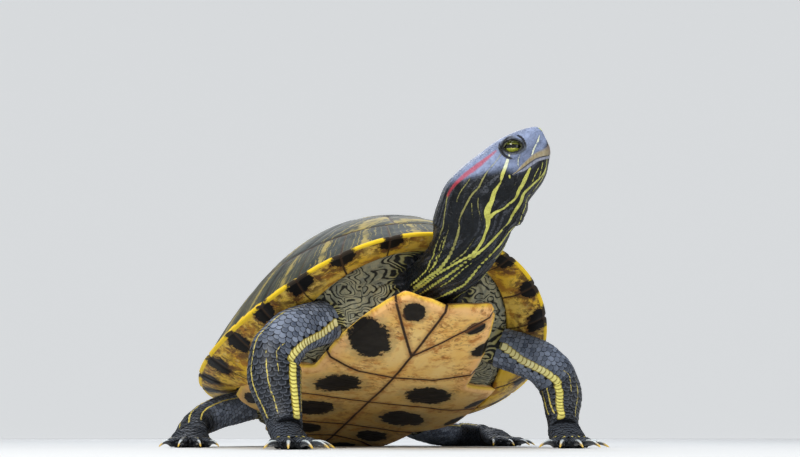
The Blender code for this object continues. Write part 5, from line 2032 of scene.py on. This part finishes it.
def horn_paint(name, low, high, dark, tip=0.0):
    p = Paint(name)
    rise, turn = p.field("rise"), p.field("turn")
    patchy, fine = p.noise(0.0024, 4, 0.6), p.noise(0.0006, 3)
    streak = p.noise(0.0022, 3, 0.6, p.moved((3.0, 3.0, 0.7)))
    colour = p.mix(p.step(streak, 0.35, 0.70), low, high)
    # towards the top edge the colour goes to the last colour given: on the upper beak the cheek's painted
    # lavender sheen, on the lower beak painted shade along the mouth line
    colour = p.mix(p.times(p.step(rise, 0.62, 1.0), 0.75), colour, dark)
    colour = p.mix(p.times(p.step(rise, 0.12, 0.0), 0.45), colour, (0.10, 0.065, 0.03))
    colour = p.mix(p.times(p.step(turn, 0.30, 0.08), tip), colour, (0.115, 0.058, 0.019))
    p.set(
        Base_Color=colour, Roughness=p.add(0.24, p.times(patchy, 0.2)), Specular_IOR_Level=0.35,
        Coat_Weight=0.06
    )
    p.bump(p.add(fine, p.times(streak, 0.6)), 0.00015, 0.4)
    return p


# where a claw begins, as a share of its length from the toe's tip
INSIDE_TOE = -0.16


def make_claw(limb, number):
    """A curved, tapered claw with a blunt base inside the toe, a ridge on top and a pointed tip."""
    _, tip, along = limb.toes[number]
    length, radius = limb.size["claw"], limb.size["claw_radius"]
    across = np.cross(along, (0, 0, 1))
    rings, rows, sides = [], 26, 20
    around = 2 * pi * np.arange(sides) / sides
    for share in np.linspace(INSIDE_TOE, 1.0, rows):
        s = max(share, 0)
        drop = (tip[2] - 0.0004) * s**1.6
        centre = tip + along * length * share + np.array((0, 0, 0.0009 * sin(pi * s) - drop))
        size = radius * (1 - 0.80 * s**1.4) * (1 - 0.93 * smoothstep(0.86, 1.0, share) ** 1.5)
        wide = 0.80 * np.cos(around)
        tall = np.where(np.sin(around) > 0, np.sin(around), 0.82 * np.sin(around))
        rings.append(centre + size * (np.outer(wide, across) + np.outer(tall, (0, 0, 1))))
    obj = face_out(mesh_object(f"{limb.name}_nail_{number + 1}", *loft_parts(rings)))
    points = points_of(obj)
    points[:, 2] = np.maximum(points[:, 2], 0.0)
    set_points(obj, points)
    put(obj, "share", np.repeat(np.linspace(INSIDE_TOE, 1.0, rows), sides))
    put(obj, "top", np.tile(np.sin(around), rows))
    return smooth_shaded(obj)


def claw_paint():
    p = Paint("claw")
    share, top = p.field("share"), p.field("top")
    fine = p.noise(0.0010, 3, 0.6, p.moved((1, 1, 2.5)))
    side = p.mix(fine, (0.020, 0.022, 0.026), (0.060, 0.066, 0.075))
    ridge = p.mix(fine, (0.40, 0.46, 0.50), (0.62, 0.66, 0.66))
    colour = p.mix(p.step(p.add(top, p.times(p.add(fine, -0.5), 0.3)), 0.45, 0.80), side, ridge)
    colour = p.mix(p.step(share, 0.62, 0.92), colour, (0.62, 0.40, 0.045))
    p.set(Base_Color=colour, Roughness=0.26, Specular_IOR_Level=0.55, Coat_Weight=0.3, Coat_Roughness=0.1)
    p.bump(fine, 0.00012, 0.4)
    return p


# ---- everything in its place


def settle(piece, nodes, paint):
    paint.on(piece)
    if nodes:
        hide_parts(*nodes)
    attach(piece, "root")


def shifted(obj):
    set_points(obj, points_of(obj) + BOX_SHIFT)
    return obj


SHELL_AND_SMALL = ("carapace", "plastron", "eye")
FLESH = [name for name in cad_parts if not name.startswith(SHELL_AND_SMALL) and "claw" not in name]

settle(make_carapace(), ["carapace"], carapace_paint())
settle(make_plastron(), ["plastron"], plastron_paint())
skin = shape_skin(make_skin())
mark_skin(skin)
skin_tree = BVHTree.FromPolygons(
    points_of(skin).tolist(), [list(face.vertices) for face in skin.data.polygons]
)
upper_beak = sheath(
    "beak_upper", skin_tree, 0.0, lambda front: 1.0 + 1.3 * front + 2.1 * front**5, 0.32, 0.12
)
lower_beak = sheath("beak_lower", skin_tree, -1.7, lambda front: -0.28, 0.18, 0.0)
# upper beak: tan horn with a brown tip; its top edge fades into the cheek's painted lavender sheen
settle(
    shifted(upper_beak), [],
    horn_paint("beak_upper", (0.31, 0.265, 0.165), (0.22, 0.170, 0.085), (0.17, 0.19, 0.26), 0.95)
)
# the lower beak's lavender greys are a painted sheen on the lower lip
settle(
    shifted(lower_beak), [],
    horn_paint("beak_lower", (0.24, 0.26, 0.34), (0.15, 0.16, 0.21), (0.05, 0.05, 0.06))
)
settle(smooth_shaded(shifted(skin)), FLESH, skin_paint())

scales = scale_paint()
for number, (limb, loft) in enumerate(zip(LIMBS, LEG_LOFTS)):
    corner = (0.25 * number, 0.0)
    settle(shifted(make_leg_scales(limb, loft, corner)), [], scales)
settle(shifted(make_tail_scales()), [], scales)

eyes = eye_paint()
for sign, side in ((1, "left"), (-1, "right")):
    settle(make_eye(sign), [f"eye_{side}"], eyes)
claws = claw_paint()
for limb in LIMBS:
    for number in range(len(limb.toes)):
        settle(make_claw(limb, number), [f"{limb.name}_claw_{number + 1}"], claws)


# ---- stage, lights and camera


def make_floor():
    """A pale floor, flat round the turtle and rising far out, where it glows by its own emission rather than
    being lit, so that it has no edge.
    """
    rings, sides = 60, 96
    around = 2 * pi * np.arange(sides) / sides
    rows = []
    for k in range(rings):
        radius = 0.02 + 14.0 * (k / (rings - 1)) ** 2.2
        rise = 5.5 * max(0.0, (radius - 3.0) / 11.0) ** 2
        rows.append(
            np.stack([np.cos(around) * radius, np.sin(around) * radius, np.full(sides, rise)], axis=1)
        )
    faces = grid_faces(rings, sides, around=True) + [list(range(sides))]
    floor = smooth_shaded(face_out(mesh_object("floor", np.concatenate(rows), faces, shift=False)))
    put(floor, "far", smoothstep(0.5, 2.4, np.hypot(*points_of(floor)[:, :2].T)))
    p = Paint("floor")
    glow = p.mix(p.field("far"), (0.0, 0.0, 0.0), (0.96, 0.98, 1.0))
    p.set(Base_Color=(0.66, 0.67, 0.67), Roughness=0.9, Specular_IOR_Level=0.0)
    p.set(Emission_Color=glow, Emission_Strength=0.54)
    p.on(floor)


def area_light(name, place, target, size, watts, colour):
    data = bpy.data.lights.new(name, "AREA")
    data.shape = "DISK"
    data.size = size
    data.energy = watts
    data.color = colour
    lamp = bpy.data.objects.new(name, data)
    lamp.location = place
    lamp.rotation_euler = (Vector(target) - Vector(place)).to_track_quat("-Z", "Y").to_euler()
    bpy.context.scene.collection.objects.link(lamp)


def make_lights():
    middle = (0.0, 0.0, 0.07)
    area_light("key", (-0.75, -0.95, 1.05), middle, 0.55, 19.0, (1.0, 0.98, 0.94))
    area_light("sky", (0.05, 0.10, 1.35), middle, 1.2, 12.0, (0.88, 0.92, 1.0))
    area_light("fill", (1.0, -0.85, 0.35), middle, 0.8, 2.6, (1.0, 0.98, 0.96))
    area_light("rear", (0.35, 1.15, 0.8), middle, 0.8, 4.5, (0.95, 0.97, 1.0))
    world = bpy.data.worlds.new("studio")
    world.use_nodes = True
    world.node_tree.nodes["Background"].inputs["Color"].default_value = (0.80, 0.84, 0.88, 1)
    world.node_tree.nodes["Background"].inputs["Strength"].default_value = 0.20
    bpy.context.scene.world = world


def show_plain_colours():
    """The colours are shown as lit, without a film curve."""
    bpy.context.scene.view_settings.view_transform = "Standard"


CAMERA_PLACE = (-0.26483, -0.63576, 0.0065)
CAMERA_TURN = radians(23.19)
CAMERA_RISE = radians(8.72)
CAMERA_LENS = 60.48


def make_camera():
    data = bpy.data.cameras.new("camera")
    data.lens = CAMERA_LENS
    data.sensor_width = 36.0
    data.clip_start = 0.01
    data.clip_end = 60.0
    camera = bpy.data.objects.new("camera", data)
    camera.location = CAMERA_PLACE
    camera.rotation_euler = (pi / 2 + CAMERA_RISE, 0, -CAMERA_TURN)
    bpy.context.scene.collection.objects.link(camera)
    bpy.context.scene.camera = camera


make_floor()
make_lights()
show_plain_colours()
make_camera()
